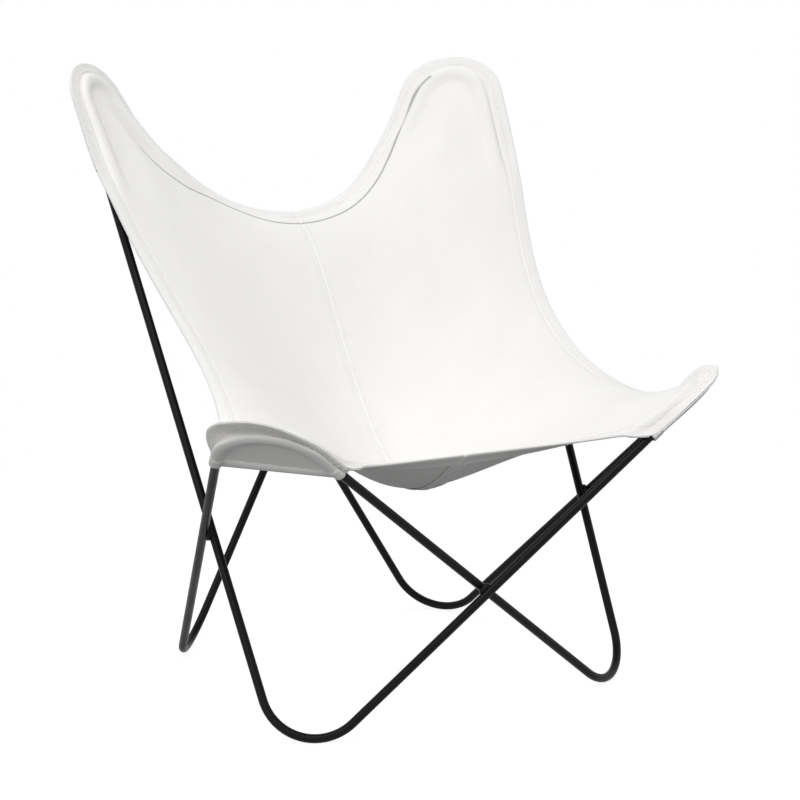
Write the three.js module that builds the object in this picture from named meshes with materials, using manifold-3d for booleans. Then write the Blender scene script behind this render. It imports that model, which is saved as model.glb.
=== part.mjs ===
import * as THREE from "three";
import Module from "manifold-3d";

const wasm = await Module();
wasm.setup();

// Sizes in millimetres. +Z is up, the chair faces -Y, +X is to the right seen from the front.

// Rod of the frame
const rodRadius = 6;
const rodSides = 16;
const bendSteps = 10;
const weldRoot = 1.4;
const clearance = 0.35;
const joiningReach = 0.0001;

// How closely the legs are fitted to one another
const exactShare = 1e-9;
const fittingRounds = 4;
const settlingRounds = 12;

// Corners where the straight legs of the first loop would meet, measured from the middle of the chair
const backEarCorner = new THREE.Vector3(-347.8, 339.5, 955);
const frontFloorCorner = new THREE.Vector3(-281.5, -240.8, -48);
const frontEarCorner = new THREE.Vector3(390, -338, 503);
const backFloorCorner = new THREE.Vector3(221.5, 238, -50);
const floorBendRadius = 72;
const frontEarBendRadius = 75;
const backEarBendRadius = 51;
const firstLoopShift = 13;

// Weld beads
const weldReach = 10;
const weldDepthShare = 0.72;
const weldDetail = 4;

// Canvas of the sling
const canvasThickness = 1.5;

// How far the canvas stands off the middle line of the rod: the wall of a pocket, and the sewn rim at the tip of an
// ear, and how much fuller that rim is at the legs
const wallOffset = 10.5;
const backRimOffset = 24;
const frontRimOffset = 37;
const backFreeFullness = 13;
const backSideFullness = 6;
const frontSideFullness = -17;
const frontFreeFullness = -20;

// Bands of canvas and how far each lies from the layer it is sewn to
const hemWidth = 22;
const seamTapeWidth = 26;
const bindingWidth = 15;
const layerStep = canvasThickness + clearance;
const hemStep = canvasThickness + 3 * clearance;
const sheetLift = rodRadius + clearance + canvasThickness / 2;
const pocketDepth = sheetLift;

// Where the canvas leaves the straight legs, measured from the end of the bend
const backEarSideRun = 62;
const backEarTopRun = 30;
const frontEarCrossRun = 35;
const frontEarSideRun = 0;

// Pull points that draw the free edges inwards
const sidePullBack = new THREE.Vector3(264, 44, 476);
const sidePullFront = new THREE.Vector3(255, -125, 419);
const sideHandleBack = 190;
const sideHandleFront = 43;
const topPull = new THREE.Vector3(100, 245, 612);
const topHandle = 150;
const frontPull = new THREE.Vector3(44, -155, 340);
const frontHandle = 18;

// Hang of the seat: pull points of its middle line, from the top edge down the back and under the sitter
const seatPulls = [
  new THREE.Vector3(0, 213, 620),
  new THREE.Vector3(0, 119, 573),
  new THREE.Vector3(0, 45, 99),
];

// Pockets: how far each mouth lies beyond the end of the bend
const frontPocketSideRun = 21;
const frontPocketCrossRun = 49;
const backPocketSideRun = 114;
const backPocketTopRun = 80;

// Mesh of the canvas
const acrossSteps = 32;
const alongSteps = 34;
const crowdShare = 0.35;

// How sharply the pull of the seat gathers towards its middle line
const bearingPower = 6;

const mirrored = (p) => new THREE.Vector3(-p.x, p.y, p.z);
const between = (a, b, share) => a.clone().lerp(b, share);
const towards = (from, to) => to.clone().sub(from).normalize();

// Changes one number until the error it leaves is nil.
function settle(error, start, step) {
  let a = start;
  let b = start + step;
  let errorA = error(a);
  let errorB = error(b);
  for (let round = 0; round < settlingRounds && Math.abs(errorB) > Math.abs(step) * exactShare; round += 1) {
    if (errorA === errorB) break;
    const next = b - (errorB * (b - a)) / (errorB - errorA);
    a = b;
    errorA = errorB;
    b = next;
    errorB = error(b);
  }
  return b;
}

// The arc that rounds a corner between two legs.
function bendAt(before, corner, after, radius) {
  const first = towards(corner, before);
  const second = towards(corner, after);
  const half = first.angleTo(second) / 2;
  const middle = first.clone().add(second).normalize();
  const centre = corner.clone().addScaledVector(middle, radius / Math.sin(half));
  const start = corner.clone().addScaledVector(first, radius / Math.tan(half));
  const end = corner.clone().addScaledVector(second, radius / Math.tan(half));
  return { corner, first, second, half, middle, centre, start, end, radius };
}

function arcPoints(bend, steps) {
  const from = bend.start.clone().sub(bend.centre);
  const to = bend.end.clone().sub(bend.centre);
  const sweep = from.angleTo(to);
  const points = [];
  for (let i = 0; i <= steps; i += 1) {
    const share = i / steps;
    const arm = from
      .clone()
      .multiplyScalar(Math.sin((1 - share) * sweep))
      .addScaledVector(to, Math.sin(share * sweep))
      .multiplyScalar(1 / Math.sin(sweep));
    points.push(bend.centre.clone().add(arm));
  }
  return points;
}

// How low the middle line of a bend comes.
function lowestOf(bend) {
  const normal = bend.first.clone().cross(bend.second).normalize();
  return bend.centre.z - bend.radius * Math.sqrt(1 - normal.z * normal.z);
}

// Signed distance between two legs, counted along the given outward direction.
function legGap(from, to, otherFrom, otherTo, outward) {
  const normal = to.clone().sub(from).cross(otherTo.clone().sub(otherFrom)).normalize();
  if (normal.dot(outward) < 0) normal.negate();
  return otherFrom.clone().sub(from).dot(normal);
}

// A loop runs back ear, front floor bend, front ear, back floor bend, and round again.
const bendRadii = [backEarBendRadius, floorBendRadius, frontEarBendRadius, floorBendRadius];
function bendsOf(corners) {
  return corners.map((corner, i) =>
    bendAt(corners[(i + 3) % 4], corner, corners[(i + 1) % 4], bendRadii[i]),
  );
}

const firstCorners = [backEarCorner, frontFloorCorner, frontEarCorner, backFloorCorner].map((p) => p.clone());
const secondCorners = firstCorners.map(mirrored);
let loopShift = firstLoopShift;
const setShift = (shift) => {
  secondCorners.forEach((corner, i) => {
    corner.y = firstCorners[i].y + shift;
  });
};
const floorBendPlaces = [1, 3];
const touching = 2 * rodRadius + weldRoot;
const outwardFront = new THREE.Vector3(0, -1, 0);
const outwardLeft = new THREE.Vector3(-1, 0, 0);
const outwardRight = new THREE.Vector3(1, 0, 0);
for (let round = 0; round < fittingRounds; round += 1) {
  for (const corners of [firstCorners, secondCorners]) {
    for (const floor of floorBendPlaces) {
      corners[floor].z = settle(
        (z) => {
          corners[floor].z = z;
          return lowestOf(bendsOf(corners)[floor]) - rodRadius;
        },
        corners[floor].z,
        rodRadius,
      );
    }
  }
  loopShift = settle(
    (shift) => {
      setShift(shift);
      return (
        legGap(secondCorners[1], secondCorners[2], firstCorners[1], firstCorners[2], outwardFront) - touching
      );
    },
    loopShift,
    rodRadius,
  );
  setShift(loopShift);
  firstCorners[2].x = settle(
    (x) => {
      firstCorners[2].x = x;
      return (
        legGap(secondCorners[0], secondCorners[1], firstCorners[2], firstCorners[3], outwardRight) - touching
      );
    },
    firstCorners[2].x,
    rodRadius,
  );
  secondCorners[2].x = settle(
    (x) => {
      secondCorners[2].x = x;
      return (
        legGap(firstCorners[0], firstCorners[1], secondCorners[2], secondCorners[3], outwardLeft) - touching
      );
    },
    secondCorners[2].x,
    rodRadius,
  );
}
const firstBends = bendsOf(firstCorners);
const secondBends = bendsOf(secondCorners);

// A rod bent round all its corners and closed on itself.
function closedRod(bends) {
  const line = bends.flatMap((bend) => arcPoints(bend, bendSteps));
  const count = line.length;
  const ahead = (i) => line[(i + 1) % count];
  const behind = (i) => line[(i + count - 1) % count];
  const loopNormal = new THREE.Vector3();
  line.forEach((p, i) => loopNormal.add(p.clone().cross(ahead(i))));
  loopNormal.normalize();
  const positions = [];
  const faces = [];
  line.forEach((p, i) => {
    const incoming = towards(behind(i), p);
    const outgoing = towards(p, ahead(i));
    const tangent = incoming.clone().add(outgoing).normalize();
    const side = tangent.clone().cross(loopNormal).normalize();
    const up = side.clone().cross(tangent).normalize();
    for (let k = 0; k < rodSides; k += 1) {
      const angle = (2 * Math.PI * k) / rodSides;
      const rim = p
        .clone()
        .addScaledVector(side, rodRadius * Math.cos(angle))
        .addScaledVector(up, rodRadius * Math.sin(angle));
      positions.push(rim.x, rim.y, rim.z);
      const here = i * rodSides + k;
      const hereNext = i * rodSides + ((k + 1) % rodSides);
      const there = ((i + 1) % count) * rodSides + k;
      const thereNext = ((i + 1) % count) * rodSides + ((k + 1) % rodSides);
      faces.push(here, hereNext, there, hereNext, thereNext, there);
    }
  });
  return { positions, faces };
}

// Turns points and faces into a mesh, turned right side out.
function solidOf({ positions, faces }) {
  const make = (order) =>
    new wasm.Manifold(
      new wasm.Mesh({
        numProp: 3,
        vertProperties: new Float32Array(positions),
        triVerts: new Uint32Array(order),
      }),
    );
  const solid = make(faces);
  if (solid.volume() > 0) return solid;
  const turned = [];
  for (let i = 0; i < faces.length; i += 3) turned.push(faces[i], faces[i + 2], faces[i + 1]);
  return make(turned);
}

function geometryOf(solid) {
  const mesh = solid.getMesh();
  const geometry = new THREE.BufferGeometry();
  geometry.setAttribute("position", new THREE.BufferAttribute(new Float32Array(mesh.vertProperties), 3));
  geometry.setIndex(new THREE.BufferAttribute(new Uint32Array(mesh.triVerts), 1));
  geometry.computeVertexNormals();
  return geometry;
}

// A straight rod-like solid between two points.
function straightRod(from, to, radius) {
  const length = from.distanceTo(to);
  const geometry = new THREE.CylinderGeometry(radius, radius, length, rodSides);
  geometry.deleteAttribute("normal");
  geometry.deleteAttribute("uv");
  const turn = new THREE.Quaternion().setFromUnitVectors(new THREE.Vector3(0, 1, 0), towards(from, to));
  const middle = between(from, to, 0.5);
  geometry.applyMatrix4(new THREE.Matrix4().compose(middle, turn, new THREE.Vector3(1, 1, 1)));
  return weldedSolid(geometry);
}

// Joins the doubled points of a three.js geometry and makes a solid of it.
function weldedSolid(geometry) {
  const plain = geometry.index ? geometry.toNonIndexed() : geometry;
  const source = plain.getAttribute("position");
  const seen = new Map();
  const positions = [];
  const faces = [];
  for (let i = 0; i < source.count; i += 1) {
    const p = [source.getX(i), source.getY(i), source.getZ(i)];
    const key = p.map((value) => Math.round(value / joiningReach)).join(" ");
    if (!seen.has(key)) {
      seen.set(key, positions.length / 3);
      positions.push(...p);
    }
    faces.push(seen.get(key));
  }
  const kept = [];
  for (let i = 0; i < faces.length; i += 3) {
    const [a, b, c] = [faces[i], faces[i + 1], faces[i + 2]];
    if (a !== b && b !== c && a !== c) kept.push(a, b, c);
  }
  return solidOf({ positions, faces: kept });
}

// The points where two legs come closest.
function closestPoints(from, to, otherFrom, otherTo) {
  const a = to.clone().sub(from);
  const b = otherTo.clone().sub(otherFrom);
  const w = otherFrom.clone().sub(from);
  const across = a.dot(a) * b.dot(b) - a.dot(b) * a.dot(b);
  const s = (w.dot(a) * b.dot(b) - w.dot(b) * a.dot(b)) / across;
  const t = (w.dot(a) * a.dot(b) - w.dot(b) * a.dot(a)) / across;
  return [from.clone().addScaledVector(a, s), otherFrom.clone().addScaledVector(b, t)];
}

// A flattened bead of weld in the crotches of two crossing legs, hollowed where the rods run.
function weldBead(from, to, otherFrom, otherTo) {
  const [p, q] = closestPoints(from, to, otherFrom, otherTo);
  const geometry = new THREE.IcosahedronGeometry(weldReach, weldDetail);
  geometry.deleteAttribute("normal");
  geometry.deleteAttribute("uv");
  const turn = new THREE.Quaternion().setFromUnitVectors(new THREE.Vector3(0, 0, 1), towards(p, q));
  const flat = new THREE.Vector3(1, 1, weldDepthShare);
  geometry.applyMatrix4(new THREE.Matrix4().compose(between(p, q, 0.5), turn, flat));
  const reach = 3 * weldReach;
  const run = (point, along) => [
    point.clone().addScaledVector(along, -reach),
    point.clone().addScaledVector(along, reach),
  ];
  const first = straightRod(...run(p, towards(from, to)), rodRadius + clearance);
  const second = straightRod(...run(q, towards(otherFrom, otherTo)), rodRadius + clearance);
  return weldedSolid(geometry).subtract(first).subtract(second);
}

// An ear of the frame: its bend, its two legs and the direction square to its plane that faces the sitter.
const backSeatHint = new THREE.Vector3(0, -1, 0);
const frontSeatHint = new THREE.Vector3(0, 0, 1);
function earOf(bend, sideLeg, freeLeg, hint, rimOffset, sideFullness, freeFullness) {
  const normal = sideLeg.clone().cross(freeLeg).normalize();
  if (normal.dot(hint) < 0) normal.negate();
  const spread = Math.PI / 2 - bend.half;
  return { ...bend, sideLeg, freeLeg, normal, rimOffset, sideFullness, freeFullness, spread };
}
const backEarOf = (bend, sideLeg, freeLeg) =>
  earOf(bend, sideLeg, freeLeg, backSeatHint, backRimOffset, backSideFullness, backFreeFullness);
const frontEarOf = (bend, sideLeg, freeLeg) =>
  earOf(bend, sideLeg, freeLeg, frontSeatHint, frontRimOffset, frontSideFullness, frontFreeFullness);
const backLeftEar = backEarOf(firstBends[0], firstBends[0].second, firstBends[0].first);
const backRightEar = backEarOf(secondBends[0], secondBends[0].second, secondBends[0].first);
const frontRightEar = frontEarOf(firstBends[2], firstBends[2].second, firstBends[2].first);
const frontLeftEar = frontEarOf(secondBends[2], secondBends[2].second, secondBends[2].first);

// How far the canvas reaches beyond the rod, growing from the tip of the ear towards its leg.
function reachAt(ear, leg, share) {
  const fullness = leg === ear.freeLeg ? ear.freeFullness : ear.sideFullness;
  return ear.rimOffset + fullness * Math.sin((Math.PI * share) / 2) ** 2;
}

// The rim of an ear from its tip round one half of the bend and down that leg.
const rimSteps = 24;
function rimOf(ear, leg, run) {
  const points = [];
  for (let i = 0; i <= rimSteps; i += 1) {
    const share = i / rimSteps;
    const { rod, away } = rodAt(ear, leg, share, 0);
    points.push(rod.addScaledVector(away, reachAt(ear, leg, share)).addScaledVector(ear.normal, sheetLift));
  }
  points.push(points[rimSteps].clone().addScaledVector(leg, run));
  return points;
}

// A place on the middle line of the rod of an ear, and the direction that leads outwards from it.
function rodAt(ear, leg, share, run) {
  const outward = leg.clone().addScaledVector(ear.middle, -leg.dot(ear.middle)).normalize();
  const angle = ear.spread * share;
  const away = ear.middle.clone().multiplyScalar(-Math.cos(angle)).addScaledVector(outward, Math.sin(angle));
  const rod = ear.centre.clone().addScaledVector(away, ear.radius).addScaledVector(leg, run);
  return { rod, away };
}

function bezier(controls, steps) {
  const points = [];
  for (let i = 0; i <= steps; i += 1) {
    const share = i / steps;
    let row = controls.map((p) => p.clone());
    while (row.length > 1) row = row.slice(1).map((p, k) => between(row[k], p, share));
    points.push(row[0]);
  }
  return points;
}

// Takes points along a polyline, crowded a little towards both ends.
function spaced(points, steps) {
  const lengths = [0];
  points.forEach((p, i) => {
    if (i > 0) lengths.push(lengths[i - 1] + p.distanceTo(points[i - 1]));
  });
  const total = lengths[lengths.length - 1];
  const result = [];
  let k = 0;
  for (let i = 0; i <= steps; i += 1) {
    const even = i / steps;
    const crowded = (1 - Math.cos(Math.PI * even)) / 2;
    const target = total * (even * (1 - crowdShare) + crowded * crowdShare);
    while (k < points.length - 2 && lengths[k + 1] < target) k += 1;
    const share = (target - lengths[k]) / (lengths[k + 1] - lengths[k]);
    result.push(between(points[k], points[k + 1], Math.min(Math.max(share, 0), 1)));
  }
  return result;
}

const flipFor = (isLeft, p) => (isLeft ? mirrored(p) : p.clone());

// The free edge on one side, from the tip of the back ear to the tip of the front ear.
function sideEdge(isLeft) {
  const back = isLeft ? backLeftEar : backRightEar;
  const front = isLeft ? frontLeftEar : frontRightEar;
  const head = rimOf(back, back.sideLeg, backEarSideRun);
  const tail = rimOf(front, front.sideLeg, frontEarSideRun).reverse();
  const from = head[head.length - 1];
  const to = tail[0];
  const middle = bezier(
    [
      from,
      from.clone().addScaledVector(back.sideLeg, sideHandleBack),
      flipFor(isLeft, sidePullBack).setY(sidePullBack.y + loopShift / 2),
      flipFor(isLeft, sidePullFront).setY(sidePullFront.y + loopShift / 2),
      to.clone().addScaledVector(front.sideLeg, sideHandleFront),
      to,
    ],
    3 * rimSteps,
  );
  return [...head.slice(0, -1), ...middle, ...tail.slice(1)];
}

// The free edge between two ears at the top or at the front.
function crossEdge(leftEar, rightEar, run, handle, pull) {
  const head = rimOf(leftEar, leftEar.freeLeg, run);
  const tail = rimOf(rightEar, rightEar.freeLeg, run).reverse();
  const from = head[head.length - 1];
  const to = tail[0];
  const middle = bezier(
    [
      from,
      from.clone().addScaledVector(leftEar.freeLeg, handle),
      mirrored(pull).setY(pull.y + loopShift / 2),
      pull.clone().setY(pull.y + loopShift / 2),
      to.clone().addScaledVector(rightEar.freeLeg, handle),
      to,
    ],
    3 * rimSteps,
  );
  return [...head.slice(0, -1), ...middle, ...tail.slice(1)];
}

const axes = ["x", "y", "z"];

// Sine shapes that are nil at both ends of a row of inner points.
function sineShapes(steps) {
  const shapes = [];
  for (let m = 1; m < steps; m += 1) {
    const shape = [];
    for (let i = 1; i < steps; i += 1) shape.push(Math.sqrt(2 / steps) * Math.sin((Math.PI * m * i) / steps));
    shapes.push(shape);
  }
  return shapes;
}

const stiffnessOf = (steps) =>
  sineShapes(steps).map((shape, m) => steps * steps * (2 - 2 * Math.cos((Math.PI * (m + 1)) / steps)));

const product = (left, right) =>
  left.map((row) => right[0].map((value, k) => row.reduce((sum, entry, i) => sum + entry * right[i][k], 0)));

// Solves a full set of linear equations by elimination.
function solvedFor(matrix, wanted) {
  const rows = matrix.map((row, i) => [...row, wanted[i]]);
  const count = rows.length;
  for (let i = 0; i < count; i += 1) {
    let best = i;
    for (let k = i + 1; k < count; k += 1) if (Math.abs(rows[k][i]) > Math.abs(rows[best][i])) best = k;
    [rows[i], rows[best]] = [rows[best], rows[i]];
    for (let k = 0; k < count; k += 1) {
      if (k === i) continue;
      const factor = rows[k][i] / rows[i][i];
      for (let n = i; n <= count; n += 1) rows[k][n] -= factor * rows[i][n];
    }
  }
  return rows.map((row, i) => row[count] / row[i]);
}

// The hanging surface between the four edges: each point rests at the mean of its neighbours, and each row is
// drawn down evenly until its middle lies on the middle line of the seat. It is solved as a sum of sine shapes.
function hangingSurface(across, along) {
  const top = spaced(crossEdge(backLeftEar, backRightEar, backEarTopRun, topHandle, topPull), across);
  const front = spaced(
    crossEdge(frontLeftEar, frontRightEar, frontEarCrossRun, frontHandle, frontPull),
    across,
  );
  const left = spaced(sideEdge(true), along);
  const right = spaced(sideEdge(false), along);
  const middle = across / 2;
  const pulls = seatPulls.map((p) => p.clone().setY(p.y + loopShift / 2));
  const profile = spaced(bezier([top[middle], ...pulls, front[middle]], 3 * rimSteps), along);

  const acrossShapes = sineShapes(across);
  const alongShapes = sineShapes(along);
  const acrossStiffness = stiffnessOf(across);
  const alongStiffness = stiffnessOf(along);
  const restOf = (load) => {
    const shares = product(product(alongShapes, load), acrossShapes);
    const eased = shares.map((row, m) => row.map((value, n) => value / (alongStiffness[m] + acrossStiffness[n])));
    return product(product(alongShapes, eased), acrossShapes);
  };
  const bearing = acrossShapes.map((shape, i) => Math.sin((Math.PI * (i + 1)) / across) ** bearingPower);
  const bearingShares = acrossShapes.map((shape) => shape.reduce((sum, value, i) => sum + value * bearing[i], 0));
  const sagShares = alongStiffness.map((stiffness) =>
    acrossShapes.reduce(
      (sum, shape, n) => sum + (shape[middle - 1] * bearingShares[n]) / (stiffness + acrossStiffness[n]),
      0,
    ),
  );
  const response = product(
    alongShapes.map((shape) => shape.map((value, m) => value * sagShares[m])),
    alongShapes,
  );

  const solved = axes.map((axis) => {
    const load = alongShapes.map((shape, j) => acrossShapes.map(() => 0));
    load.forEach((row, j) => {
      row[0] += across * across * left[j + 1][axis];
      row[across - 2] += across * across * right[j + 1][axis];
    });
    load[0].forEach((value, i) => {
      load[0][i] += along * along * top[i + 1][axis];
      load[along - 2][i] += along * along * front[i + 1][axis];
    });
    const free = restOf(load);
    const pull = solvedFor(
      response,
      free.map((row, j) => profile[j + 1][axis] - row[middle - 1]),
    );
    return restOf(load.map((row, j) => row.map((value, i) => value + pull[j] * bearing[i])));
  });
  const grid = [];
  for (let j = 0; j <= along; j += 1) {
    const row = [];
    for (let i = 0; i <= across; i += 1) {
      if (j === 0) row.push(top[i].clone());
      else if (j === along) row.push(front[i].clone());
      else if (i === 0) row.push(left[j].clone());
      else if (i === across) row.push(right[j].clone());
      else row.push(new THREE.Vector3(...solved.map((values) => values[j - 1][i - 1])));
    }
    grid.push(row);
  }
  return grid;
}

// Gives a surface of points and faces a thickness, closing it round its outline.
function thickened(points, faces, thickness) {
  const normals = points.map(() => new THREE.Vector3());
  const edges = new Map();
  for (let i = 0; i < faces.length; i += 3) {
    const corner = [faces[i], faces[i + 1], faces[i + 2]];
    const [a, b, c] = corner.map((k) => points[k]);
    const area = b.clone().sub(a).cross(c.clone().sub(a));
    corner.forEach((k, n) => {
      normals[k].add(area);
      edges.set(k + " " + corner[(n + 1) % 3], [k, corner[(n + 1) % 3]]);
    });
  }
  normals.forEach((n) => n.normalize());
  const count = points.length;
  const positions = [];
  for (const sign of [1, -1]) {
    points.forEach((p, i) => {
      const q = p.clone().addScaledVector(normals[i], (sign * thickness) / 2);
      positions.push(q.x, q.y, q.z);
    });
  }
  const all = [...faces];
  for (let i = 0; i < faces.length; i += 3) {
    all.push(faces[i] + count, faces[i + 2] + count, faces[i + 1] + count);
  }
  for (const [a, b] of edges.values()) {
    if (edges.has(b + " " + a)) continue;
    all.push(b, a, a + count, b, a + count, b + count);
  }
  return { positions, faces: all };
}

// Faces of a grid of rows, all rows equally long.
function gridFaces(rows, columns) {
  const faces = [];
  for (let j = 0; j + 1 < rows; j += 1) {
    for (let i = 0; i + 1 < columns; i += 1) {
      const a = j * columns + i;
      const b = a + 1;
      const c = a + columns;
      const d = c + 1;
      if ((i + j) % 2 === 0) faces.push(a, c, d, a, d, b);
      else faces.push(a, c, b, b, c, d);
    }
  }
  return faces;
}

function sheetOf(rows, thickness) {
  return thickened(rows.flat(), gridFaces(rows.length, rows[0].length), thickness);
}

// Moves every point of a grid along the grid's own normal; positive is the sitting side.
function offsetRows(rows, distance) {
  const last = rows.length - 1;
  const end = rows[0].length - 1;
  return rows.map((row, j) =>
    row.map((p, i) => {
      const alongRow = row[Math.min(i + 1, end)].clone().sub(row[Math.max(i - 1, 0)]);
      const downRow = rows[Math.min(j + 1, last)][i].clone().sub(rows[Math.max(j - 1, 0)][i]);
      const normal = downRow.cross(alongRow).normalize();
      return p.clone().addScaledVector(normal, distance);
    }),
  );
}

// Walks inwards from an edge point through the points of the grid and stops at the given distance.
function walked(line, distance) {
  let left = distance;
  for (let k = 1; k < line.length; k += 1) {
    const step = line[k].distanceTo(line[k - 1]);
    if (step >= left) return between(line[k - 1], line[k], left / step);
    left -= step;
  }
  return line[line.length - 1].clone();
}

function lengthOf(line) {
  return line.slice(1).reduce((sum, p, k) => sum + p.distanceTo(line[k]), 0);
}

const surface = hangingSurface(acrossSteps, alongSteps);
const middleColumn = acrossSteps / 2;
const columnOf = (i) => surface.map((row) => row[i]);

// Panels, each from its free side to the seam down the middle
const leftRows = surface.map((row) => {
  const seam = row[middleColumn].clone().addScaledVector(towards(row[middleColumn], row[middleColumn - 1]), clearance / 2);
  return [...row.slice(0, middleColumn), seam];
});
const rightRows = surface.map((row) => {
  const seam = row[middleColumn].clone().addScaledVector(towards(row[middleColumn], row[middleColumn + 1]), clearance / 2);
  return [seam, ...row.slice(middleColumn + 1)];
});

// Tape under the seam, ending short of the hems
const seamLine = columnOf(middleColumn);
const tapeRows = surface
  .filter((row, j) => {
    const fromTop = lengthOf(seamLine.slice(0, j + 1));
    const fromFront = lengthOf(seamLine.slice(j));
    return Math.min(fromTop, fromFront) > hemWidth + layerStep;
  })
  .map((row) => {
    const leftward = row.slice(0, middleColumn + 1).reverse();
    const rightward = row.slice(middleColumn);
    return [walked(leftward, seamTapeWidth / 2), row[middleColumn].clone(), walked(rightward, seamTapeWidth / 2)];
  });

// A hem under a free edge: each inward line starts on the edge
function hemRows(inwardLines, from, to) {
  const edge = inwardLines.map((line) => line[0]);
  const chosen = inwardLines.filter((line, k) => {
    const before = lengthOf(edge.slice(0, k + 1));
    const after = lengthOf(edge.slice(k));
    return before > from && after > to;
  });
  const inset = canvasThickness / 2;
  return chosen.map((line) => [walked(line, inset), walked(line, hemWidth / 2), walked(line, hemWidth)]);
}

const rimLength = (ear, leg) => lengthOf(rimOf(ear, leg, 0));
const topHem = hemRows(
  surface[0].map((p, i) => columnOf(i)),
  rimLength(backLeftEar, backLeftEar.freeLeg) + backPocketTopRun,
  rimLength(backRightEar, backRightEar.freeLeg) + backPocketTopRun,
);
const frontHem = hemRows(
  surface[alongSteps].map((p, i) => columnOf(i).reverse()),
  rimLength(frontLeftEar, frontLeftEar.freeLeg) + frontPocketCrossRun,
  rimLength(frontRightEar, frontRightEar.freeLeg) + frontPocketCrossRun,
);
const leftHem = hemRows(
  surface.map((row) => row.slice(0, middleColumn + 1)),
  rimLength(backLeftEar, backLeftEar.sideLeg) + backPocketSideRun,
  rimLength(frontLeftEar, frontLeftEar.sideLeg) + frontPocketSideRun,
);
const rightHem = hemRows(
  surface.map((row) => row.slice(middleColumn).reverse()),
  rimLength(backRightEar, backRightEar.sideLeg) + backPocketSideRun,
  rimLength(frontRightEar, frontRightEar.sideLeg) + frontPocketSideRun,
);

// Pockets
const roundSteps = 4;
const pocketArcSteps = 8;
const pocketLegSteps = 4;

// Stations round the rim of an ear, from the mouth on the side leg over the tip to the mouth on the free leg.
function stationsOf(ear, sideRun, freeRun, sideLine, freeLine) {
  const halfOf = (leg, run, line) => {
    const stations = [];
    for (let k = 0; k <= pocketArcSteps; k += 1) {
      const share = k / pocketArcSteps;
      const { rod, away } = rodAt(ear, leg, share, 0);
      stations.push({ rod, away, edge: walked(line, rimLength(ear, leg) * share) });
    }
    for (let k = 1; k <= pocketLegSteps; k += 1) {
      const along = (run * k) / pocketLegSteps;
      const { rod, away } = rodAt(ear, leg, 1, along);
      stations.push({ rod, away, edge: walked(line, rimLength(ear, leg) + along) });
    }
    return stations;
  };
  const sideHalf = halfOf(ear.sideLeg, sideRun, sideLine).reverse();
  const freeHalf = halfOf(ear.freeLeg, freeRun, freeLine);
  return [...sideHalf, ...freeHalf.slice(1)];
}

// The round of canvas under a rod, from its outer side to straight below it.
function roundPoints(ear, station, extra) {
  const points = [];
  for (let k = 0; k <= roundSteps; k += 1) {
    const angle = (Math.PI * k) / (2 * roundSteps);
    points.push(
      station.rod
        .clone()
        .addScaledVector(station.away, (wallOffset + extra) * Math.cos(angle))
        .addScaledVector(ear.normal, -(pocketDepth + extra) * Math.sin(angle)),
    );
  }
  return points;
}

// The strip of a pocket that lies under the rim of the panel, from the edge inwards to the outer side of the rod.
function flangePoints(ear, station) {
  const edge = station.edge.clone().addScaledVector(ear.normal, -hemStep);
  const inwards = edge.clone().sub(station.rod).dot(station.away) - wallOffset;
  return [edge, edge.clone().addScaledVector(station.away, -inwards)];
}

function pocketOf(ear, sideRun, freeRun, sideLine, freeLine) {
  const stations = stationsOf(ear, sideRun, freeRun, sideLine, freeLine);
  const rows = stations.map((station) => [...flangePoints(ear, station), ...roundPoints(ear, station, 0)]);
  const columns = rows[0].length;
  const points = rows.flat();
  const faces = gridFaces(rows.length, columns);
  const across = ear.middle.clone().cross(ear.normal);
  const inner = rows.map((row, k) => k * columns + columns - 1);
  const outline = inner.map((k) => new THREE.Vector2(points[k].dot(ear.middle), points[k].dot(across)));
  const triangles = THREE.ShapeUtils.triangulateShape(outline, []);
  const flat = triangles.flatMap((triangle) => triangle.map((k) => inner[k]));
  return thickened(points, matched(faces, flat), canvasThickness);
}

// Joins two sets of faces that share points, turning the second to agree with the first.
function matched(faces, others) {
  const directed = new Set();
  for (let i = 0; i < faces.length; i += 3) {
    for (let n = 0; n < 3; n += 1) directed.add(faces[i + n] + " " + faces[i + ((n + 1) % 3)]);
  }
  let clash = false;
  for (let i = 0; i < others.length; i += 3) {
    for (let n = 0; n < 3; n += 1) {
      if (directed.has(others[i + n] + " " + others[i + ((n + 1) % 3)])) clash = true;
    }
  }
  const turned = [];
  for (let i = 0; i < others.length; i += 3) {
    if (clash) turned.push(others[i], others[i + 2], others[i + 1]);
    else turned.push(others[i], others[i + 1], others[i + 2]);
  }
  return [...faces, ...turned];
}

// A band of canvas round the outside of a pocket's mouth.
function bindingOf(ear, sideRun, freeRun) {
  const rowAt = (back) => [
    ...roundPoints(ear, rodAt(ear, ear.sideLeg, 1, sideRun - back), layerStep),
    ...roundPoints(ear, rodAt(ear, ear.freeLeg, 1, freeRun - back), layerStep).reverse(),
  ];
  return sheetOf([rowAt(0), rowAt(bindingWidth / 2), rowAt(bindingWidth)], canvasThickness);
}

// Colours and finish
const rodMaterial = () => new THREE.MeshStandardMaterial({ color: 0x111111, roughness: 0.42, metalness: 0.0 });
const canvasMaterial = () => new THREE.MeshStandardMaterial({ color: 0xf1f0ed, roughness: 0.9, metalness: 0.0 });

const group = new THREE.Group();
function addPiece(name, solid, material) {
  const mesh = new THREE.Mesh(geometryOf(solid), material);
  mesh.name = name;
  group.add(mesh);
}

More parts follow.
